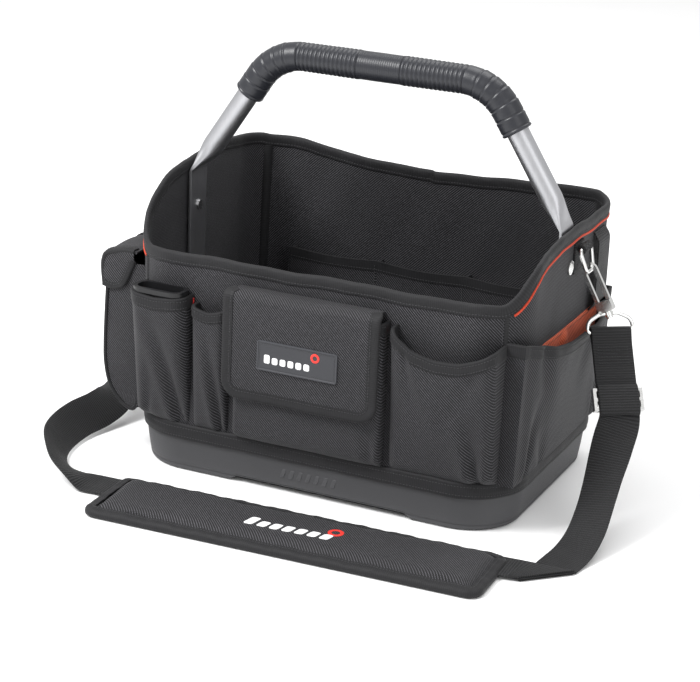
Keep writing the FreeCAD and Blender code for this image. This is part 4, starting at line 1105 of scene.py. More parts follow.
def flap_strip(prof, body, name, mat):
    rows, uvs = [], []
    acc = 0.0
    s = np.concatenate([[0], np.cumsum(np.linalg.norm(np.diff(edge, axis=0), axis=1))])
    w = np.concatenate([[0], np.cumsum(np.linalg.norm(np.diff(A(prof), axis=0), axis=1))])
    for j, (d, h) in enumerate(prof):
        q = edge + I2 * d
        inner = np.stack([np.clip(q[:, 0], FX0 - 3, FX1 + 3), q[:, 1]], -1)
        base = flap_pt(inner[:, 0], np.minimum(inner[:, 1], FL))
        e1 = flap_pt(inner[:, 0] + 0.5, np.minimum(inner[:, 1], FL)) - flap_pt(inner[:, 0] - 0.5, np.minimum(inner[:, 1], FL))
        e2 = flap_pt(inner[:, 0], np.minimum(inner[:, 1], FL)) - flap_pt(inner[:, 0], np.minimum(inner[:, 1], FL) - 1.0)
        n_ = unit(np.cross(e2, e1))
        n_ = n_ * np.sign((n_ * A([0, -1.0, 0.3])).sum(-1, keepdims=True))
        over = np.maximum(inner[:, 1] - FL, 0)
        base[:, 2] -= over
        wob = 0.12 * np.sin(s * 0.5 + d)
        rows.append(base + n_ * (h + wob)[:, None])
        uvs.append(np.stack([s, np.full_like(s, w[j])], -1))
    P = np.stack(rows, 1)
    n, k = P.shape[:2]
    F = []
    for i in range(n - 1):
        for j in range(k):
            F.append((i * k + j, i * k + (j + 1) % k, (i + 1) * k + (j + 1) % k, (i + 1) * k + j))
    F.append(tuple(range(k - 1, -1, -1)))
    F.append(tuple((n - 1) * k + j for j in range(k)))
    return add(name, P.reshape(-1, 3), F, mat, uv=np.stack(uvs, 1).reshape(-1, 2), body=body, slot="binding", sharp=60)


flap_strip([(9.8, 0.1), (9.6, 0.65), (8.0, 0.75), (7.2, 0.5), (5.0, 0.95), (2.0, 1.1), (-0.3, 0.8), (-1.2, -0.3), (-1.2, -1.5), (-0.3, -2.3), (2.0, -2.5),
            (5.0, -2.4), (9.6, -2.3), (9.8, -1.7)], "front_flap", "front_flap_binding", M_BIND)
for d in (7.4,):
    q = edge + I2 * d
    stitch(flap_pt(q[:, 0], q[:, 1]) + A([0, -0.75, 0]), A([0, -1.0, 0]), body="front_flap")
lb = B("label_patch")
lc = A([(lb[0] + lb[3]) / 2, -163.15, (lb[2] + lb[5]) / 2])
lw, lh = lb[3] - lb[0], lb[5] - lb[2]
puck("label_plate", lc, X, Z_, -Y, lw, lh, 2.5, [(0, -0.6), (0, 1.0), (0.35, 1.55), (1.5, 1.6), (1.9, 1.15), (2.6, 1.1)], M_LABEL,
     body="front_flap", rep=["label_patch"], slot="label")
oc = []
for (sx, sz) in ((1, -1), (1, 1), (-1, 1), (-1, -1)):
    oc.append(lc + X * sx * (lw / 2 - 3.0) + Z_ * sz * (lh / 2 - 3.0) - Y * 1.2)
for i in range(4):
    stitch([oc[i], oc[(i + 1) % 4]], -Y, body="front_flap", pitch=2.2, length=1.5, r=0.22)


def lozenge(name, c, ex, ey, ez, w, h, t, mat, body, slot, skew=0.25):
    """Flat slanted tile with softened corners."""
    e2 = unit(ey + ex * skew)
    return puck(name, c, ex, e2, ez, w, h, min(w, h) * 0.28, [(0, -0.3), (0, t * 0.7), (min(w, h) * 0.06, t)], mat, body=body, slot=slot, n=5)


for i in range(6):
    hgt = 8.6 if i in (0,) else 6.6
    lozenge("label_tile_%d" % i, lc + A([-31.0 + 8.3 * i, -1.1, -3.8 + (hgt - 6.6) / 2]), X, Z_, -Y, 5.9, hgt, 0.4, M_WHITE, "front_flap", "badge", skew=0.0)
V, F = [], []


def disc(name, c, ex, ey, ez, r, t, mat, body, slot, hole=0.0, n=36):
    V, F = [], []
    lay = [(r, -0.3), (r, t * 0.7), (r * 0.94, t), (hole + 0.12 * r, t), (hole, t * 0.8), (hole, -0.3)]
    for rr, h in lay:
        for k in range(n):
            a_ = 2 * PI * k / n
            V.append(c + ex * rr * math.cos(a_) + ey * rr * math.sin(a_) + ez * h)
    L = len(lay)
    for i in range(L):
        for j in range(n):
            F.append((i * n + j, i * n + (j + 1) % n, ((i + 1) % L) * n + (j + 1) % n, ((i + 1) % L) * n + j))
    return add(name, A(V), F, mat, body=body, slot=slot)


disc("label_ring", lc + A([19.0, -1.1, 7.0]), X, Z_, -Y, 4.6, 0.4, M_RED, "front_flap", "badge", hole=2.4)
puck("grip_strip_pocket", A([-5.0, -157.3, 120.0]), X, Z_, -Y, 70, 16, 2.0, [(0, -0.4), (0, 0.6), (0.5, 1.0)], M_HOOK, rep=["pocket_loop_strip"], slot="hook_loop")
puck("grip_strip_flap", A([-5.0, -161.3, 120.0]), X, Z_, Y, 70, 16, 2.0, [(0, -0.4), (0, 0.5), (0.5, 0.9)], M_HOOK, body="front_flap", rep=["flap_hook_strip"], slot="hook_loop")

# bar tacks: close zigzags of red thread
for (x, y, z0, z1) in ((81.2, -142.2, 178, 192), (-128.6, -142.4, 175, 184), (-85.6, -142.4, 167, 176)):
    for k in range(int((z1 - z0) / 0.85)):
        zc = z0 + 0.85 * k
        stitch([A([x - 1.1, y, zc]), A([x + 1.1, y, zc + 0.45])], -Y, kind="red", pitch=2.2, length=2.1, r=0.38)

# ---------------------------------------------------------------- left pouch
PY0, PY1 = -118.0, -48.0
pout = A([(-203.2, 55), (-204.8, 49.0), (-208.5, 45.4), (-214, 46.6), (-225, 55), (-234.2, 68.5), (-239.2, 90), (-239.9, 112), (-239.2, 140), (-237.9, 170), (-236.5, 198)])
pf = catmull(np.hstack([pout, np.zeros((len(pout), 1))]), 2.2)[:, :2]
ny_ = 30
yv = np.linspace(PY0, PY1, ny_)
Pn = np.zeros((len(pf), ny_, 3))
vv_ = (yv - PY0) / (PY1 - PY0)
zf = (pf[:, 1] - 44) / 154.0

tang = unit(np.gradient(pf, axis=0))
nn2 = np.stack([tang[:, 1], -tang[:, 0]], -1)
if nn2[len(nn2) // 2][0] > 0:
    nn2 = -nn2
bul = 1.6 * np.sin(PI * vv_)[None, :] * np.clip(zf + 0.25, 0, 1)[:, None] + 0.7 * np.sin(pf[:, 1] * 0.09)[:, None] * np.cos(vv_ * 9.0)[None, :]
Pn[..., 0] = pf[:, 0:1] + nn2[:, 0:1] * bul
Pn[..., 1] = yv[None, :]
Pn[..., 2] = pf[:, 1:2] + nn2[:, 1:2] * bul
shell("pouch_cloth", Pn, 1.8, M_FAB, A([-1.0, 0, -0.2]), rep=["side_pouch_left"], slot="fabric")
for ye, sg in ((PY0, -1), (PY1, 1)):
    wx = -204.0
    nr = 12
    G = np.zeros((len(pf), nr, 3))
    for j in range(nr):
        t = j / (nr - 1)
        G[:, j, 0] = pf[:, 0] + (np.minimum(-wall_x(np.full(len(pf), ye), pf[:, 1]) + 1.0, pf[:, 0] + 60) - pf[:, 0]) * t
        G[:, j, 1] = ye + sg * 1.6 * math.sin(PI * t) * np.sin(PI * np.clip(zf, 0, 1)) + sg * 0.6 * np.sin(pf[:, 1] * 0.07) * math.sin(PI * t)
        G[:, j, 2] = pf[:, 1] + (np.maximum(pf[:, 1], 52.0) - pf[:, 1]) * t
    shell("pouch_end_" + ("front" if sg < 0 else "rear"), G, 1.4, M_FAB, A([0, sg, 0]), slot="fabric")
    C = np.stack([pf[:, 0] + nn2[:, 0] * 0.4, np.full(len(pf), ye - sg * 0.2), pf[:, 1] + nn2[:, 1] * 0.4], -1)
    T = unit(np.gradient(C, axis=0))
    A1 = np.stack([nn2[:, 0], 0 * nn2[:, 0], nn2[:, 1]], -1)
    A2 = np.broadcast_to(Y, A1.shape)
    prof = [(2.1 * math.cos(t), 1.9 * math.sin(t)) for t in a0]
    V, F, UV = sweep_data(C, A1, A2, prof)
    add("pouch_piping_" + ("front" if sg < 0 else "rear"), V, F, M_BIND, uv=UV[:, ::-1], rep=["pouch_edge_binding"] if sg < 0 else (), slot="binding", sharp=70)
    stitch(C + A1 * 0.5 - A2 * sg * 4.2, A1)
# mouth hem of the pouch
G = Pn[-6:, :, :].transpose(1, 0, 2)
Nn = norms(G, A([-1.0, 0, 0]))
V, F, UV = shell_data(G + Nn * 0.7, Nn, 3.2)
add("pouch_hem", V, F, M_BIND, uv=UV, slot="binding")

# pouch lid: thick sewn cover that rolls over the mouth
lid = A([(-204.6, 210.6), (-212, 210.9), (-222, 210.2), (-231, 208.9), (-237.4, 206.8), (-241.4, 203.2), (-242.9, 198.0), (-243.2, 190), (-242.9, 180), (-242.4, 171.5)])
lf = catmull(np.hstack([lid, np.zeros((len(lid), 1))]), 1.6)[:, :2]
ny2 = 36
yv = np.linspace(PY0 - 2.2, PY1 + 2.2, ny2)
vv_ = (yv - yv[0]) / (yv[-1] - yv[0])
ls = np.concatenate([[0], np.cumsum(np.linalg.norm(np.diff(lf, axis=0), axis=1))])
LLEN = ls[-1]
tang = unit(np.gradient(lf, axis=0))
nl = np.stack([tang[:, 1], -tang[:, 0]], -1)
if nl[len(nl) // 2][0] > 0:
    nl = -nl
w_ = ls / LLEN
puff = (1.5 * np.sin(PI * vv_) ** 0.6)[None, :] * np.sin(PI * np.clip(w_ * 1.05, 0, 1))[:, None] + 0.6 * np.sin(w_ * 11)[:, None] * np.sin(vv_ * 7 + 1)[None, :] \
    - 1.5 * np.exp(-((np.abs(vv_ - 0.5) - 0.36) / 0.03) ** 2)[None, :] * np.clip(w_ * 5, 0, 1)[:, None]
Pl = np.zeros((len(lf), ny2, 3))
Pl[..., 0] = lf[:, 0:1] + nl[:, 0:1] * puff
Pl[..., 1] = yv[None, :]
Pl[..., 2] = lf[:, 1:2] + nl[:, 1:2] * puff
Nn = norms(Pl, A([-0.6, 0, 0.8]))
V, F, UV = shell_data(Pl, Nn, 2.2)
add("pouch_lid_cloth", V, F, M_FAB, uv=UV, body="pouch_lid", rep=["pouch_lid"], slot="fabric")
# its bound edges
out = [(lf[i], yv[0], i) for i in range(3, len(lf))]
C1 = Pl[2:, 0, :]
C2 = Pl[-1, :, :]
C3 = Pl[2:, -1, :][::-1]
C = np.vstack([C1, C2[1:-1], C3])
N1 = np.vstack([Nn[2:, 0], Nn[-1, 1:-1], Nn[2:, -1][::-1]])
T = unit(np.gradient(C, axis=0))
for _ in range(2):
    T[1:-1] = unit(T[:-2] + 2 * T[1:-1] + T[2:])
S1 = unit(np.cross(N1, T))
mid = Pl.reshape(-1, 3).mean(0)
if ((mid - C[len(C) // 2]) * S1[len(C) // 2]).sum() < 0:
    S1 = -S1
prof = [(9.5, 0.1), (9.2, 0.9), (5.0, 1.5), (1.5, 1.6), (-0.9, 0.9), (-1.5, -1.1), (-0.9, -2.9), (1.5, -3.3), (9.2, -3.0), (9.5, -2.2)]
V, F, UV = sweep_data(C, S1, N1, prof)
add("pouch_lid_binding", V, F, M_BIND, uv=UV[:, ::-1], body="pouch_lid", slot="binding", sharp=60)
stitch(C[3:-3] + S1[3:-3] * 6.6 + N1[3:-3] * 1.3, N1[3:-3], body="pouch_lid")
# end gussets of the lid, closed caps of the same cloth with a bound lower edge
for ye, sg, nm in ((PY0 - 2.4, -1, "front"), (PY1 + 2.4, 1, "rear")):
    gx = np.linspace(0, 1, 26)
    top_l = lf[np.linspace(2, len(lf) - 1, 26).astype(int)]
    low = catmull(A([(-206.8, 200, 0), (-210.5, 191, 0), (-214.5, 181, 0), (-220.0, 173.0, 0), (-229.0, 169.5, 0), (-237, 170.0, 0), (-242.2, 172.0, 0)]), 1.0)
    low = low[np.linspace(0, len(low) - 1, 26).astype(int)][:, :2]
    rows_g = 12
    G = np.zeros((26, rows_g, 3))
    for j in range(rows_g):
        t = j / (rows_g - 1)
        xz = top_l * (1 - t) + low * t
        G[:, j, 0] = xz[:, 0]
        G[:, j, 1] = ye + sg * (0.9 * math.sin(PI * t) + 0.5 * np.sin(gx * 9 + t * 4))
        G[:, j, 2] = xz[:, 1]
    shell("lid_gusset_" + nm, G, 1.5, M_FABG, A([0, sg, 0]), body="pouch_lid", slot="fabric")
    Cg = G[:, -1, :] + A([0, -sg * 0.7, 0])
    Tg = unit(np.gradient(Cg, axis=0))
    Sg = np.broadcast_to(A([0, 1.0, 0]), Cg.shape)
    Ng = unit(np.cross(Tg, Sg))
    cm = A([Cg[:, 0].mean(), ye, 205.0])
    if ((Cg[13] - cm) * Ng[13]).sum() < 0:
        Ng = -Ng
    pg = [(-1.9, -6.0), (-2.1, -1.0), (-1.3, 0.8), (0, 1.3), (1.3, 0.8), (2.1, -1.0), (1.9, -6.0), (0.0, -6.3)]
    V, F, UV = sweep_data(Cg, Sg, Ng, pg)
    add("lid_gusset_binding_" + nm, V, F, M_BIND, uv=UV[:, ::-1], body="pouch_lid", slot="binding", sharp=70)
    stitch(Cg + Ng * -4.4 + A([0, sg * 2.0, 0]), A([0, sg, 0]), body="pouch_lid")
puck("grip_strip_pouch", A([-237.9, -83.0, 182.0]), Y, Z_, -X, 44, 12, 1.5, [(0, -0.8), (0, 0.5), (0.5, 0.8)], M_HOOK, rep=["pouch_loop_strip"], slot="hook_loop")
puck("grip_strip_lid", A([-240.4, -83.0, 182.0]), Y, Z_, X, 44, 12, 1.5, [(0, -0.6), (0, 0.4), (0.5, 0.8)], M_HOOK, body="pouch_lid", rep=["lid_hook_strip"], slot="hook_loop")

# ------------------------------------------------------------ inside pockets
ib = B("inner_pocket_back")
XX, ZZ = np.meshgrid(np.linspace(ib[0] + 0.5, ib[3] - 0.5, 120), np.linspace(ib[2], ib[5], 44), indexing="ij")
cell = np.abs(np.sin((XX + 50) * PI / 100.0))
YB = 119.6 - 2.4 * cell ** 1.5 * ((ZZ - 42) / 123.0) - 0.5 * np.sin(ZZ * 0.08 + XX * 0.03)
ZZ2 = ZZ - 2.2 * cell * ((ZZ - 42) / 123.0) ** 6
P = np.stack([XX, YB, ZZ2], -1)
shell("inner_pocket_cloth", P, 1.5, M_FAB, -Y, rep=["inner_pocket_back"], slot="fabric")
Gh = P[:, -5:, :]
Nn = norms(Gh, -Y)
V, F, UV = shell_data(Gh + Nn * 0.8 + A([0, 0, 0.6]), Nn, 3.0)
add("inner_pocket_hem", V, F, M_BIND, uv=UV, slot="binding")
stitch(P[:, -4, :] + A([0, -0.95, 0]), -Y)
for i, x in enumerate((-150.5, -50.0, 50.0, 150.5)):
    zc = np.linspace(43, 163, 30)
    yw = 119.8
    Pd = np.zeros((30, 8, 3))
    for j in range(8):
        yend = float(wdim(100)[1]) - 2.2 if abs(x) < 100 else 138.0
        Pd[:, j, 0] = x + 0.4 * np.sin(zc * 0.06)
        Pd[:, j, 1] = yw + (yend - yw) * j / 7
        Pd[:, j, 2] = zc
    shell("inner_divider_%d" % i, Pd, 1.2, M_FAB, X, slot="fabric")
    stitch(np.stack([np.full(30, x - 1.6), np.full(30, 118.7), zc], -1), -Y)

LOOPX = (-112.0, -56.0, 0.0, 56.0, 112.0)
path = [(-149.0, -137.3)]
for x in LOOPX:
    path += [(x - 19.5, -137.3), (x - 17.4, -135.2)]
    for t in np.linspace(170, 10, 13):
        path.append((x + 17.2 * math.cos(math.radians(t)), -136.9 + 17.2 * math.sin(math.radians(t))))
    path += [(x + 17.4, -135.2), (x + 19.5, -137.3)]
path.append((149.0, -137.3))
pl = catmull(np.hstack([A(path), np.zeros((len(path), 1))]), 2.0)[:, :2]
zc = np.linspace(150.0, 188.0, 10)
P = np.zeros((len(pl), 10, 3))
P[..., 0], P[..., 1] = pl[:, 0:1], pl[:, 1:2]
P[..., 2] = zc[None, :] + 0.5 * np.sin(pl[:, 0] * 0.06)[:, None]
shell("tool_loop_elastic", P, 1.5, M_WEBF, Y, rep=["inner_loops_front"], slot="fabric")
for x in (-149, -84, -28, 28, 84, 149):
    stitch(np.stack([np.full(12, float(x) * 0.985), np.full(12, -136.9), np.linspace(152, 186, 12)], -1), Y)

# ------------------------------------------------------------------- handle
hx_, zt_, cz_ = 114.0, 402.0, 273.0
hy_ = (B("handle_tube")[1] + B("handle_tube")[4]) / 2
plx = 197.9
dv = unit(A([plx - hx_, 0, -(zt_ - cz_)]))


def handle_path(g0, step):
    p = [A([-plx, hy_, cz_]), A([-hx_, hy_, zt_]), A([hx_, hy_, zt_]), A([plx, hy_, cz_])]
    u = [unit(p[1] - p[0]), unit(p[2] - p[1]), unit(p[3] - p[2])]
    start, end = p[0] + u[0] * g0, p[3] - u[2] * g0
    out = []
    ang = math.acos(float(np.dot(u[0], u[1])))
    Rb = 56.0
    t = Rb * math.tan(ang / 2)
    a1, a2 = p[1] - u[0] * t, p[1] + u[1] * t
    b1, b2 = p[2] - u[1] * t, p[2] + u[2] * t
    nrm1 = unit(u[1] - u[0] * np.dot(u[0], u[1]))
    c1 = a1 + nrm1 * Rb
    nrm2 = unit(u[2] - u[1] * np.dot(u[1], u[2]))
    c2 = b1 + nrm2 * Rb

    def run(a_, b_):
        n = max(2, int(np.linalg.norm(b_ - a_) / step))
        return [a_ + (b_ - a_) * k / n for k in range(n)]

    def bow(c, a_, u0, n0):
        n = max(4, int(Rb * ang / step))
        return [c + (u0 * math.sin(ang * k / n) - n0 * math.cos(ang * k / n)) * Rb for k in range(n)]
    out += run(start, a1)
    out += bow(c1, a1, u[0], nrm1)
    out += run(a2, b1)
    out += bow(c2, b1, u[1], nrm2)
    out += run(b2, end) + [end]
    return A(out)


gp = handle_path(102.0, 0.75)
gs = np.concatenate([[0], np.cumsum(np.linalg.norm(np.diff(gp, axis=0), axis=1))])
GL = gs[-1]
T = unit(np.gradient(gp, axis=0))
A1 = np.broadcast_to(Y, T.shape)
A2 = unit(np.cross(T, A1))
c = gs - GL / 2


def groove(c, pitch, lo, hi, depth, wid):
    t = np.mod(np.abs(c) - lo, pitch)
    t = np.minimum(t, pitch - t)
    on = (np.abs(c) >= lo - 0.01) & (np.abs(c) <= hi)
    return np.where(on, -depth * np.exp(-(t / wid) ** 2), 0.0)


rad = 14.5 + 0.2 * np.cos(c * 0.03)
rad = rad + groove(c, 4.6, 23.0, 23.0 + 4.6 * 14, 1.05, 0.95)
ac = np.abs(c)
for g in (100.0, 110.0, 121.0, 132.5, 144.5, 157.0):
    rad = rad - 0.75 * np.exp(-((ac - g) / 0.75) ** 2)
    rad = rad + 0.28 * np.exp(-((ac - g - 1.9) / 1.2) ** 2)
e = np.minimum(gs, GL - gs)
rad = rad + 0.55 * np.clip((ac - 96.0) / 6.0, 0, 1)
rad = rad - 1.6 * np.clip(1 - e / 1.4, 0, 1) ** 2
plaque = np.clip((23.5 - ac) / 2.0, 0, 1)
rad = rad - 0.7 * plaque + 0.25 * plaque * np.cos(c * 2 * PI / 2.3)
n_a = 40
ang_ = np.linspace(0, 2 * PI, n_a + 1)[:-1]
prof = rad[:, None, None] * np.stack([np.cos(ang_), np.sin(ang_)], -1)[None]
V, F, UV = sweep_data(gp, A1, A2, prof)
add("handle_grip_rubber", V, F, M_GRIP, uv=UV, rep=["handle_grip"], slot="grip", sharp=75)
# the tube's ends: round, pressed flat over a short length, then a flat plate with a crisp crease
for sgn, side in ((-1, "left"), (1, "right")):
    foot = A([sgn * plx, hy_, cz_])
    dd_ = unit(A([-sgn * (plx - hx_), 0, zt_ - cz_]))
    ac_ = unit(np.cross(dd_, Y)) * (1 if sgn > 0 else -1)
    if ac_[0] * sgn < 0:
        ac_ = -ac_
    na = 48
    tt_ = np.linspace(0, 2 * PI, na + 1)[:-1]
    rowsP, uvr = [], []

    def section(c0, wide, thick, q, ax):
        cy_, cx_ = np.cos(tt_), np.sin(tt_)
        fy = np.sign(cy_) * np.abs(cy_) ** (1 - 0.25 * q) * wide / 2
        fx = np.sign(cx_) * np.abs(cx_) ** (1 - 0.72 * q) * thick / 2
        return c0 + Y * fy[:, None] + ax * fx[:, None]
    acc = 0.0
    zb_ = B("handle_end_" + side)[2]
    for z in (zb_ - 0.0, zb_ + 1.0, zb_ + 8.0):
        k = 0.0 if z > zb_ + 2 else (0.75 if z < zb_ + 0.5 else 0.25)
        rowsP.append(section(A([foot[0], hy_, z]), 34.0 - 5 * k, 4.0 - 0.8 * k, 1.0, A([1.0 * sgn, 0, 0])))
    for z in np.linspace(zb_ + 20.0, cz_ - 1.2, 16):
        rowsP.append(section(A([foot[0], hy_, z]), 34.0, 4.0, 1.0, A([1.0 * sgn, 0, 0])))
    for t in np.linspace(0.6, 36.0, 26):
        k = np.clip(t / 34.0, 0, 1)
        k = k ** 0.8
        kk = k * k * (3 - 2 * k)
        ax_ = unit(A([1.0 * sgn, 0, 0]) * max(0.0, 1 - t / 6.0) + ac_ * min(1.0, t / 6.0))
        rowsP.append(section(foot + dd_ * t, 34.0 + (22.15 - 34.0) * kk, 4.0 + (22.15 - 4.0) * kk, 1 - kk, ax_))
    Pt = np.stack(rowsP, 0)
    a_n, b_n = Pt.shape[:2]
    Ft = [(i * b_n + j, i * b_n + (j + 1) % b_n, (i + 1) * b_n + (j + 1) % b_n, (i + 1) * b_n + j) for i in range(a_n - 1) for j in range(b_n)]
    Ft += [tuple(range(b_n - 1, -1, -1)), tuple((a_n - 1) * b_n + j for j in range(b_n))]
    add("tube_foot_" + side, Pt.reshape(-1, 3), Ft, M_ALU, rep=["handle_end_" + side], slot="tube", sharp=32)
# ------------------------------------------------------------------ webbing
SW, ST = 40.0, 2.2
rw = [(-20.0, 0.15), (-19.7, 0.75), (-18.6, 1.05), (-9.0, 1.1), (0, 1.12), (9.0, 1.1), (18.6, 1.05), (19.7, 0.75), (20.0, 0.15), (20.0, -0.15),
      (19.7, -0.75), (18.6, -1.05), (9.0, -1.1), (0, -1.12), (-9.0, -1.1), (-18.6, -1.05), (-19.7, -0.75), (-20.0, -0.15)]


def ribbon(name, st, mat, body="strap", rep=(), step=3.0, scale=None, prof=rw, slot="webbing", raw=False):
    """Flat webbing through (centre, width direction) stations."""
    S = A([list(a_) + list(unit(b_)) for a_, b_ in st])
    Q = S if raw else catmull(S, step)
    C, Wd = Q[:, :3], Q[:, 3:]
    T = unit(np.gradient(C, axis=0))
    Wd = unit(Wd - T * (Wd * T).sum(1, keepdims=True))
    Nn = unit(np.cross(T, Wd))
    V, F, UV = sweep_data(C, Wd, Nn, prof)
    UV = UV.reshape(len(C), len(prof), 2)
    UV[..., 0] = A(prof)[None, :, 0]
    return add(name, V, F, mat, uv=UV.reshape(-1, 2), body=body, rep=rep, slot=slot, sharp=50), C, Wd, Nn


BAR_R, BAR_L = A([245.0, 8.0, 174.0]), A([-258.5, 9.0, 183.0])
ADJ = A([268.0, -25.0, 118.0])
DS = unit(ADJ - BAR_R)
W_R = unit(A([0.77, 0.62, 0.1]) - DS * np.dot(A([0.77, 0.62, 0.1]), DS))
N_R = unit(np.cross(DS, W_R))


def loop_end(bar, a_, b_, w, far, r=3.35):
    """Stations of webbing that comes along -a, turns round a bar and goes back."""
    q = []
    for al, be in ((far, 1.2), (far * 0.6, 1.2), (14.0, 1.3), (8.5, 1.9), (3.2, 3.0), (0.0, r), (-2.3, 2.4), (-r, 0.0), (-2.3, -2.4), (0.0, -r),
                   (3.2, -3.0), (8.5, -1.9), (14.0, -1.3), (far * 0.6, -1.2), (far, -1.2)):
        q.append((bar + a_ * al + b_ * be, w))
    return q


ribbon("strap_upper_webbing", loop_end(BAR_R, DS, N_R, W_R, np.linalg.norm(ADJ - BAR_R) - 6.0), M_WEB, rep=["strap_upper_right"], step=2.0)
for k in range(6):
    al = 17.0 + k * 3.2
    stitch([BAR_R + DS * al + N_R * 2.42 - W_R * 16, BAR_R + DS * al + N_R * 2.42 + W_R * 16], N_R, body="strap", pitch=2.6, length=1.9)
    stitch([BAR_R + DS * al - N_R * 2.42 - W_R * 16, BAR_R + DS * al - N_R * 2.42 + W_R * 16], -N_R, body="strap", pitch=2.6, length=1.9)

stitch([ADJ - DS * 22.0 + N_R * 2.42 - W_R * 16, ADJ - DS * 22.0 + N_R * 2.42 + W_R * 16], N_R, body="strap", pitch=2.6, length=1.9)
# webbing folded over the front of the adjuster, its metal ends stand out at both sides
ribbon("adjuster_webbing", [(ADJ + DS * a_ + N_R * n_, W_R) for a_, n_ in ((-14.5, 3.0), (-12.6, 4.0), (-10.0, 4.9), (-4.0, 5.3), (4.0, 5.4), (9.0, 5.3), (12.4, 4.7), (14.2, 3.6), (14.9, 2.6))],
       M_WEB, body="adjuster", step=1.5)
PADANG = math.radians(2.2)
PU, PV = A([math.cos(PADANG), math.sin(PADANG), 0]), A([-math.sin(PADANG), math.cos(PADANG), 0])
MID_R = A([240.0, -202.0, 3.1])
MID_L = MID_R - PU * 440.0
lower = [(ADJ - DS * 6.0, W_R), (ADJ + DS * 18.0, W_R), (A([274.0, -48.0, 84.0]), (0.82, 0.42, 0.32)), (A([274.0, -68.0, 58.0]), (0.86, 0.15, 0.42)),
         (A([275.0, -92.0, 34.0]), (0.90, 0.0, 0.36)), (A([275.0, -116.0, 16.0]), (0.96, -0.02, 0.22)), (A([272.5, -140.0, 6.0]), (0.99, -0.05, 0.06)),
         (A([269.0, -158.0, 2.4]), (1.0, -0.05, 0.0)), (A([267.0, -170.0, 1.5]), (1.0, -0.02, 0.0))]
S = A([list(a_) + list(unit(b_)) for a_, b_ in lower])
Q = catmull(S, 3.0)
C, Wd = Q[:, :3], Q[:, 3:]
T = unit(np.gradient(C, axis=0))
Wd = unit(Wd - T * (Wd * T).sum(1, keepdims=True))
Nn = unit(np.cross(T, Wd))
flip = 1.0 if Nn[-1][2] > 0 else -1.0
# flat diagonal fold on the floor, then level into the pad
fc = A([265.5, -194.5, 0.0])
extra = []
hw = 20.0
for t in np.linspace(0.15, 1.0, 7):
    k = t
    cpt = C[-1] * (1 - k) + A([fc[0], fc[1], 1.35]) * k
    wv = A([1.0, 0, 0]) * (1 - k) + A([1.0, 1.0, 0]) * k
    extra.append((cpt, wv, Z_ * flip))
fold_up = [(A([fc[0] - 0.5, fc[1] + 0.5 - 0.9, 2.4]), A([1.0, 1.0, 0]), unit(A([0.5, -0.5, 0.0])) * flip)]
back_ = []
e0 = A([fc[0], fc[1], 3.75])
e1 = MID_R + A([-22.0, 3.0, 0.8])
wend = A([-PV[0], -PV[1], 0]) * -1
for t in np.linspace(0.0, 1.0, 9):
    cpt = e0 * (1 - t) + e1 * t
    wv = A([1.0, 1.0, 0]) * (1 - min(1, t * 1.6)) + wend * min(1, t * 1.6)
    back_.append((cpt, wv, -Z_ * flip))
CC = list(C) + [q[0] for q in extra + fold_up + back_]
NNs = list(Nn) + [q[2] for q in extra + fold_up + back_]
WWs = [w * 1.0 for w in Wd] + [q[1] for q in extra + fold_up + back_]
CC += [MID_R - PU * t for t in (60.0, 160.0, 260.0, 360.0, 428.0)]
WWs += [wend] * 5
NNs += [-Z_ * flip] * 5
V, F, UV = sweep_data(A(CC), A(WWs), A(NNs), rw)
UV = UV.reshape(len(CC), len(rw), 2)
UV[..., 0] = A(rw)[None, :, 0]
add("strap_front_webbing", V, F, M_WEB, uv=UV.reshape(-1, 2), body="strap", rep=["strap_lower_right", "strap_middle"], slot="webbing", sharp=50)

DL = unit(A([-269.5, -5.0, 112.0]) - BAR_L)
W_L = unit(A([0.12, -1.0, 0.0]) - DL * np.dot(A([0.12, -1.0, 0.0]), DL))
N_L = unit(np.cross(DL, W_L))
left = [(MID_L + PU * 16.0, PV), (MID_L, PV), (A([-213.0, -218.5, 7.8]), (0.08, 0.95, -0.30)), (A([-229.0, -214.0, 12.8]), (0.22, 0.80, -0.55)),
        (A([-246.0, -200.0, 17.0]), (0.38, 0.50, -0.78)), (A([-262.0, -176.0, 18.4]), (0.50, 0.25, -0.83)), (A([-271.0, -146.0, 18.6]), (0.56, 0.08, -0.82)),
        (A([-273.0, -112.0, 19.5]), (0.60, 0.02, -0.80)), (A([-268.0, -80.0, 21.0]), (0.68, 0.0, -0.73)), (A([-267.0, -52.0, 26.0]), (0.80, -0.10, -0.45)),
        (A([-272.0, -30.0, 43.0]), (0.74, -0.50, 0.10)), (A([-274.0, -16.0, 72.0]), (0.42, -0.86, 0.15))]
le = loop_end(BAR_L, DL, N_L, W_L, 58.0)
front_first = np.linalg.norm(le[0][0] - left[-1][0]) <= np.linalg.norm(le[-1][0] - left[-1][0])
ribbon("strap_left_webbing", left + (le if front_first else le[::-1]), M_WEB, rep=["strap_left"], step=2.5)
for k in range(5):
    al = 20.0 + k * 3.4
    for sg in (-1, 1):
        stitch([BAR_L + DL * al + N_L * 2.42 * sg - W_L * 16, BAR_L + DL * al + N_L * 2.42 * sg + W_L * 16], N_L * sg, body="strap", pitch=2.6, length=1.9)

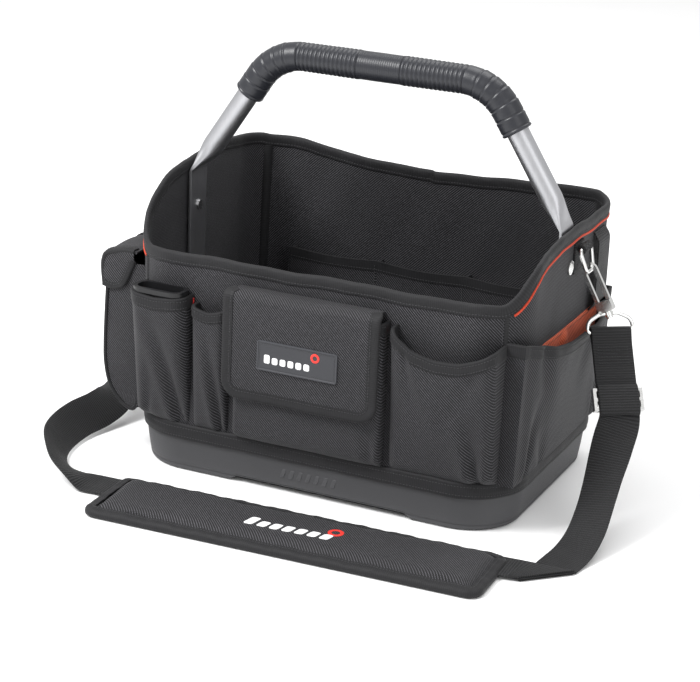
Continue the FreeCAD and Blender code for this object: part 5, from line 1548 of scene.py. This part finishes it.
# anchor loops that hold the D-rings, and their sewn tabs on the walls
for sgn, side in ((-1, "left"), (1, "right")):
    sb_ = B("anchor_sleeve_" + side)
    cx, cyy, czz = (sb_[0] + sb_[3]) / 2, (sb_[1] + sb_[4]) / 2, (sb_[2] + sb_[5]) / 2
    yy2 = np.linspace(sb_[1], sb_[4], 23)
    C = np.stack([np.full(23, cx), yy2, np.full(23, czz)], -1)
    rr = 4.35 + 0.2 * np.cos((yy2 - cyy) * 2 * PI / 2.0)
    rr[0] -= 0.7
    rr[-1] -= 0.7
    ang2 = np.linspace(0, 2 * PI, 25)[:-1]
    po = rr[:, None, None] * np.stack([np.cos(ang2), np.sin(ang2)], -1)[None]
    V1, F1, U1 = sweep_data(C, np.broadcast_to(X, C.shape), np.broadcast_to(Z_, C.shape), po)
    U1 = U1[:, ::-1]
    add("anchor_loop_" + side, V1, F1, M_WEB, uv=U1, body="strap", rep=["anchor_sleeve_" + side], slot="webbing", sharp=60)
    tb = B("anchor_tab_" + side)
    xo = 204.3 * sgn
    o_ = A([xo, (tb[1] + tb[4]) / 2, (tb[2] + tb[5]) / 2])
    zt2 = np.linspace(tb[2], tb[5], 16)
    C = np.stack([np.full(16, xo + sgn * 0.9), np.full(16, o_[1]), zt2], -1)
    tp = [(-12.5, 0.1), (-12.2, 0.9), (-11.4, 1.15), (11.4, 1.15), (12.2, 0.9), (12.5, 0.1), (12.3, -1.0), (-12.3, -1.0)]
    V1, F1, U1 = sweep_data(C, np.broadcast_to(Y, C.shape), np.broadcast_to(X * sgn, C.shape), tp)
    U1 = U1.reshape(16, 8, 2)
    U1[..., 0] = A(tp)[None, :, 0]
    add("anchor_patch_" + side, V1, F1, M_WEB, uv=U1.reshape(-1, 2), rep=["anchor_tab_" + side], slot="webbing", sharp=50)
    fx = xo + sgn * 2.05
    cor = [A([fx, o_[1] + a_ * 9.5, o_[2] - 5 + b_ * 7.5]) for a_, b_ in ((-1, -1), (1, -1), (1, 1), (-1, 1))]
    for i in range(4):
        stitch([cor[i], cor[(i + 1) % 4]], X * sgn, pitch=2.4, length=1.7)
    stitch([cor[0], cor[2]], X * sgn, pitch=2.4, length=1.7)
    stitch([cor[1], cor[3]], X * sgn, pitch=2.4, length=1.7)

# tape-measure loop on the right wall
tlb = B("tape_loop")
yc = (tlb[1] + tlb[4]) / 2
tw_ = (tlb[4] - tlb[1]) / 2
tl = [(205.2, 173.5), (206.6, 176.0), (210.2, 181.5), (210.8, 190), (210.9, 213), (210.8, 236), (210.2, 245.0), (206.6, 251.0), (205.2, 253.5)]
tprof = [(-tw_, 0.1), (-tw_ + 0.4, 0.75), (0, 0.9), (tw_ - 0.4, 0.75), (tw_, 0.1), (tw_ - 0.4, -0.7), (0, -0.9), (-tw_ + 0.4, -0.7)]
ribbon("tape_loop_webbing", [(A([x, yc, z]), Y) for x, z in tl], M_WEB, body="bag", rep=["tape_loop"], step=2.0, prof=tprof)
for zc in (177.0, 249.5):
    for e in (0.0, 2.4):
        stitch([A([207.9, yc - 14, zc + e]), A([207.9, yc + 14, zc + e])], X, pitch=2.4, length=1.7)

# ------------------------------------------------------------- shoulder pad
PC = A([29.0, -233.0, 0.0])
HW, HH = 199.0, 46.0


def pad_xy(a_, b_, z):
    return PC + PU * a_ + PV * b_ + Z_ * z


def rr_outline(hw, hh, r, n=200):
    s = np.linspace(0, 1, n + 1)[:-1] * float(perim((hw, hh, r)))
    x, y, nx, ny = around((hw, hh, r), s)
    return np.stack([x, y], -1), np.stack([nx, ny], -1)


def pad_body():
    """Padded top: a slab with rounded ends, remeshed, blown up a little as cloth, and capped."""
    V, F = [], []
    n = 120
    lay = [(6.0, 2.2), (2.0, 3.0), (1.0, 5.5), (2.4, 8.2), (8.0, 9.3)]
    for ins, z in lay:
        o, _ = rr_outline(HW - 2.0 - ins, HH - 2.0 - ins, 14.0 - min(ins, 8.0))
        o = o[::1]
        n = len(o)
        for a_, b_ in o:
            V.append(pad_xy(a_, b_, z))
    for i in range(len(lay) - 1):
        for j in range(n):
            F.append((i * n + j, i * n + (j + 1) % n, (i + 1) * n + (j + 1) % n, (i + 1) * n + j))
    F.append(tuple(range(n - 1, -1, -1)))
    F.append(tuple((len(lay) - 1) * n + j for j in range(n)))
    o = add("pad_cushion_cloth", A(V), F, M_FABX, body=None, sharp=0)
    md = o.modifiers.new("remesh", "REMESH")
    md.mode = "VOXEL"
    md.voxel_size = 0.0042
    dg = bpy.context.evaluated_depsgraph_get()
    me = bpy.data.meshes.new_from_object(o.evaluated_get(dg))
    o.modifiers.clear()
    o.data = me
    rest = A([v.co[:] for v in me.vertices])
    cl = o.modifiers.new("cloth", "CLOTH")
    st = cl.settings
    st.use_pressure = True
    st.uniform_pressure_force = 4.0
    st.effector_weights.gravity = 0.0
    st.quality = 5
    cl.collision_settings.use_collision = False
    cl.collision_settings.use_self_collision = False
    cl.point_cache.frame_start, cl.point_cache.frame_end = 1, 20
    sc = bpy.context.scene
    for f_ in range(1, 21):
        sc.frame_set(f_)
        bpy.context.view_layer.update()
    dg = bpy.context.evaluated_depsgraph_get()
    ev = o.evaluated_get(dg)
    got = A([v.co[:] for v in ev.data.vertices])
    o.modifiers.clear()
    sc.frame_set(1)
    d = got - rest
    L = np.linalg.norm(d, axis=1, keepdims=True)
    d = d * np.minimum(1.0, 0.0042 / np.maximum(L, 1e-9))
    P = rest + d
    # local coordinates along and across the pad
    rel = P / MM - PC
    la, lb_ = rel @ PU, rel @ PV
    top = np.clip((rel[:, 2] - 4.0) / 3.0, 0, 1)
    edge_d = np.minimum(HW - np.abs(la), HH - np.abs(lb_))
    # sewn perimeter seam, then shallow hollows along the length
    P[:, 2] -= top * 1.9 * MM * np.exp(-((edge_d - 11.0) / 2.6) ** 2)
    P[:, 2] -= top * MM * (2.6 * np.clip(1 - (edge_d - 1.0) / 9.0, 0, 1))
    P[:, 2] += top * MM * (0.55 * np.sin(la * 0.045 + 0.7) + 0.4 * np.sin(la * 0.1 + lb_ * 0.06) + 0.5 * np.sin(lb_ * 0.07 + 0.5)) * np.clip((edge_d - 12) / 10.0, 0, 1)
    P[:, 2] = np.clip(P[:, 2], 1.8 * MM, 13.6 * MM)
    for v, p in zip(me.vertices, P):
        v.co = p
    sub = o.modifiers.new("sub", "SUBSURF")
    sub.levels = sub.render_levels = 1
    dg = bpy.context.evaluated_depsgraph_get()
    me2 = bpy.data.meshes.new_from_object(o.evaluated_get(dg))
    o.modifiers.clear()
    o.data = me2
    me2.polygons.foreach_set("use_smooth", [True] * len(me2.polygons))
    if not me2.materials:
        me2.materials.append(M_FABX)
    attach(o, "shoulder_pad")
    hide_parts("pad_cushion")
    return o


pad_body()
# folded edge tape round the pad
o2, n2 = rr_outline(HW - 0.4, HH - 0.4, 14.0, 420)
C = A([pad_xy(a_, b_, 0.0) for a_, b_ in o2])
Nn = A([PU * a_ + PV * b_ for a_, b_ in n2])
ss = np.linspace(0, 2 * PI, 421)[:-1]
lump = 0.35 * np.sin(ss * 23) + 0.25 * np.sin(ss * 61 + 1)
pp = A([(-10.2, 7.4), (-9.9, 8.4), (-8.2, 8.6), (-7.0, 8.1), (-4.0, 8.2), (-1.4, 7.2), (0.2, 5.2), (0.6, 3.2), (0.2, 1.4), (-1.0, 0.35), (-9.0, 0.25), (-9.4, 1.4),
        (-3.0, 2.4), (-2.6, 5.4), (-8.6, 6.6)])
prof = np.broadcast_to(pp, (420,) + pp.shape).copy()
prof[:, :6, 1] += lump[:, None]
V, F, UV = sweep_data(C, Nn, np.broadcast_to(Z_, C.shape), prof, closed=True)
add("pad_edge_tape", V, F, M_BIND, uv=UV[:, ::-1], body="shoulder_pad", slot="binding", sharp=60)
stitch(C + Nn * -7.2 + Z_ * (8.15 + lump[:, None]), Z_, body="shoulder_pad")
o3, n3 = rr_outline(HW - 3.5, HH - 3.5, 12.0, 200)
V = [pad_xy(a_, b_, 0.25) for a_, b_ in o3] + [pad_xy(a_, b_, 1.7) for a_, b_ in o3]
F = [tuple(range(199, -1, -1)), tuple(200 + j for j in range(200))] + [(j, (j + 1) % 200, 200 + (j + 1) % 200, 200 + j) for j in range(200)]
add("pad_backing_sheet", A(V), F, M_GRIP, body="shoulder_pad", rep=["pad_backing"], slot="fabric")


def pad_z(a_, b_):
    return 12.0


# plain white tiles and a red ring stand where the pad carries a printed mark
pbx = A([29.0, -233.0, 0]) + PU * 8.0 + PV * -6.0
first = True
PADTOP = {}
pad_obj = bpy.data.objects["pad_cushion_cloth"]
pv = A([v.co[:] for v in pad_obj.data.vertices]) / MM


def top_at(p):
    d = np.hypot(pv[:, 0] - p[0], pv[:, 1] - p[1])
    near = pv[d < 7.0]
    return float(near[:, 2].max()) if len(near) else 11.0


for i in range(7):
    hgt = 16.5 if i == 0 else 12.0
    c_ = pbx + PU * (-46.0 + 12.6 * i) + PV * (-3.0 + (hgt - 12.0) / 2)
    c_[2] = top_at(c_) - 0.35
    o = lozenge("pad_tile_%d" % i, c_, PU, PV, Z_, 9.0, hgt, 0.75, M_WHITE, "shoulder_pad", "badge", skew=0.22)
    if first:
        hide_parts("pad_badge")
        first = False
c_ = pbx + PU * 34.0 + PV * 9.5
c_[2] = top_at(c_) - 0.35
disc("pad_ring", c_, PU, PV, Z_, 7.6, 0.75, M_RED, "shoulder_pad", "badge", hole=4.2)

# ------------------------------------------------------- CAD nodes that stay
for nm, mt in {"handle_tube": M_ALU, "handle_rivets": M_CHROME, "base_board": M_BOARD,
               "holster_ring": M_PLAS, "strap_adjuster": M_CHROME, "d_ring_left": M_CHROME, "d_ring_right": M_CHROME, "snap_hook_left": M_CHROME,
               "snap_hook_right": M_CHROME, "hook_gate_left": M_CHROME, "hook_gate_right": M_CHROME, "half_ring_left": M_CHROME,
               "half_ring_right": M_CHROME}.items():
    me = CAD[nm].data
    me.materials.clear()
    me.materials.append(mt)

# bar tacks' CAD solids are stood for by the red thread
names = {"dark": M_THREAD, "red": M_THRED}
for (body, kind), parts in sorted(STITCH.items()):
    V, F, UV = merge(parts)
    o = add("stitches_%s_%s" % (kind, body), V, F, names[kind], body=body, slot="piping" if kind == "red" else "binding", sharp=0)
    if kind == "red":
        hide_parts("bar_tacks")

# -------------------------------------------------------------------- stage
fm_ = Mat("floor_paper", rough=0.9, spec=0.1, color=(0.9, 0.9, 0.9))
fn = fm_.noise(3.0, 2.0)
fm_.color(fm_.mix(fn, (0.90, 0.90, 0.902), (0.93, 0.93, 0.93)))
me = bpy.data.meshes.new("floor")
me.from_pydata([(-9, -6, -0.0004), (9, -6, -0.0004), (9, 22, -0.0004), (-9, 22, -0.0004)], [], [(0, 1, 2, 3)])
me.materials.append(fm_.m)
floor = bpy.data.objects.new("floor", me)
bpy.context.scene.collection.objects.link(floor)
floor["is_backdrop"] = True
world = bpy.data.worlds.new("studio")
bpy.context.scene.world = world
world.use_nodes = True
bg = world.node_tree.nodes["Background"]
bg.inputs[0].default_value = (1.0, 1.0, 1.0, 1.0)
bg.inputs[1].default_value = 0.78
bpy.context.scene.view_settings.view_transform = "Standard"


def area(name, loc, target, size, power, size_y=None):
    l = bpy.data.lights.new(name, "AREA")
    l.shape = "RECTANGLE"
    l.size, l.size_y = size, size_y or size
    l.energy = power
    o = bpy.data.objects.new(name, l)
    bpy.context.scene.collection.objects.link(o)
    o.location = loc
    o.rotation_euler = (Vector(target) - Vector(loc)).to_track_quat("-Z", "Y").to_euler()
    return o


area("key", (-1.2, -1.5, 2.1), (0, 0, 0.15), 1.1, 84)
area("fill", (2.0, -1.2, 1.2), (0, 0, 0.15), 1.4, 10)
area("top", (0.2, 0.9, 2.3), (0, 0, 0.15), 1.6, 30)

lo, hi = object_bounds()
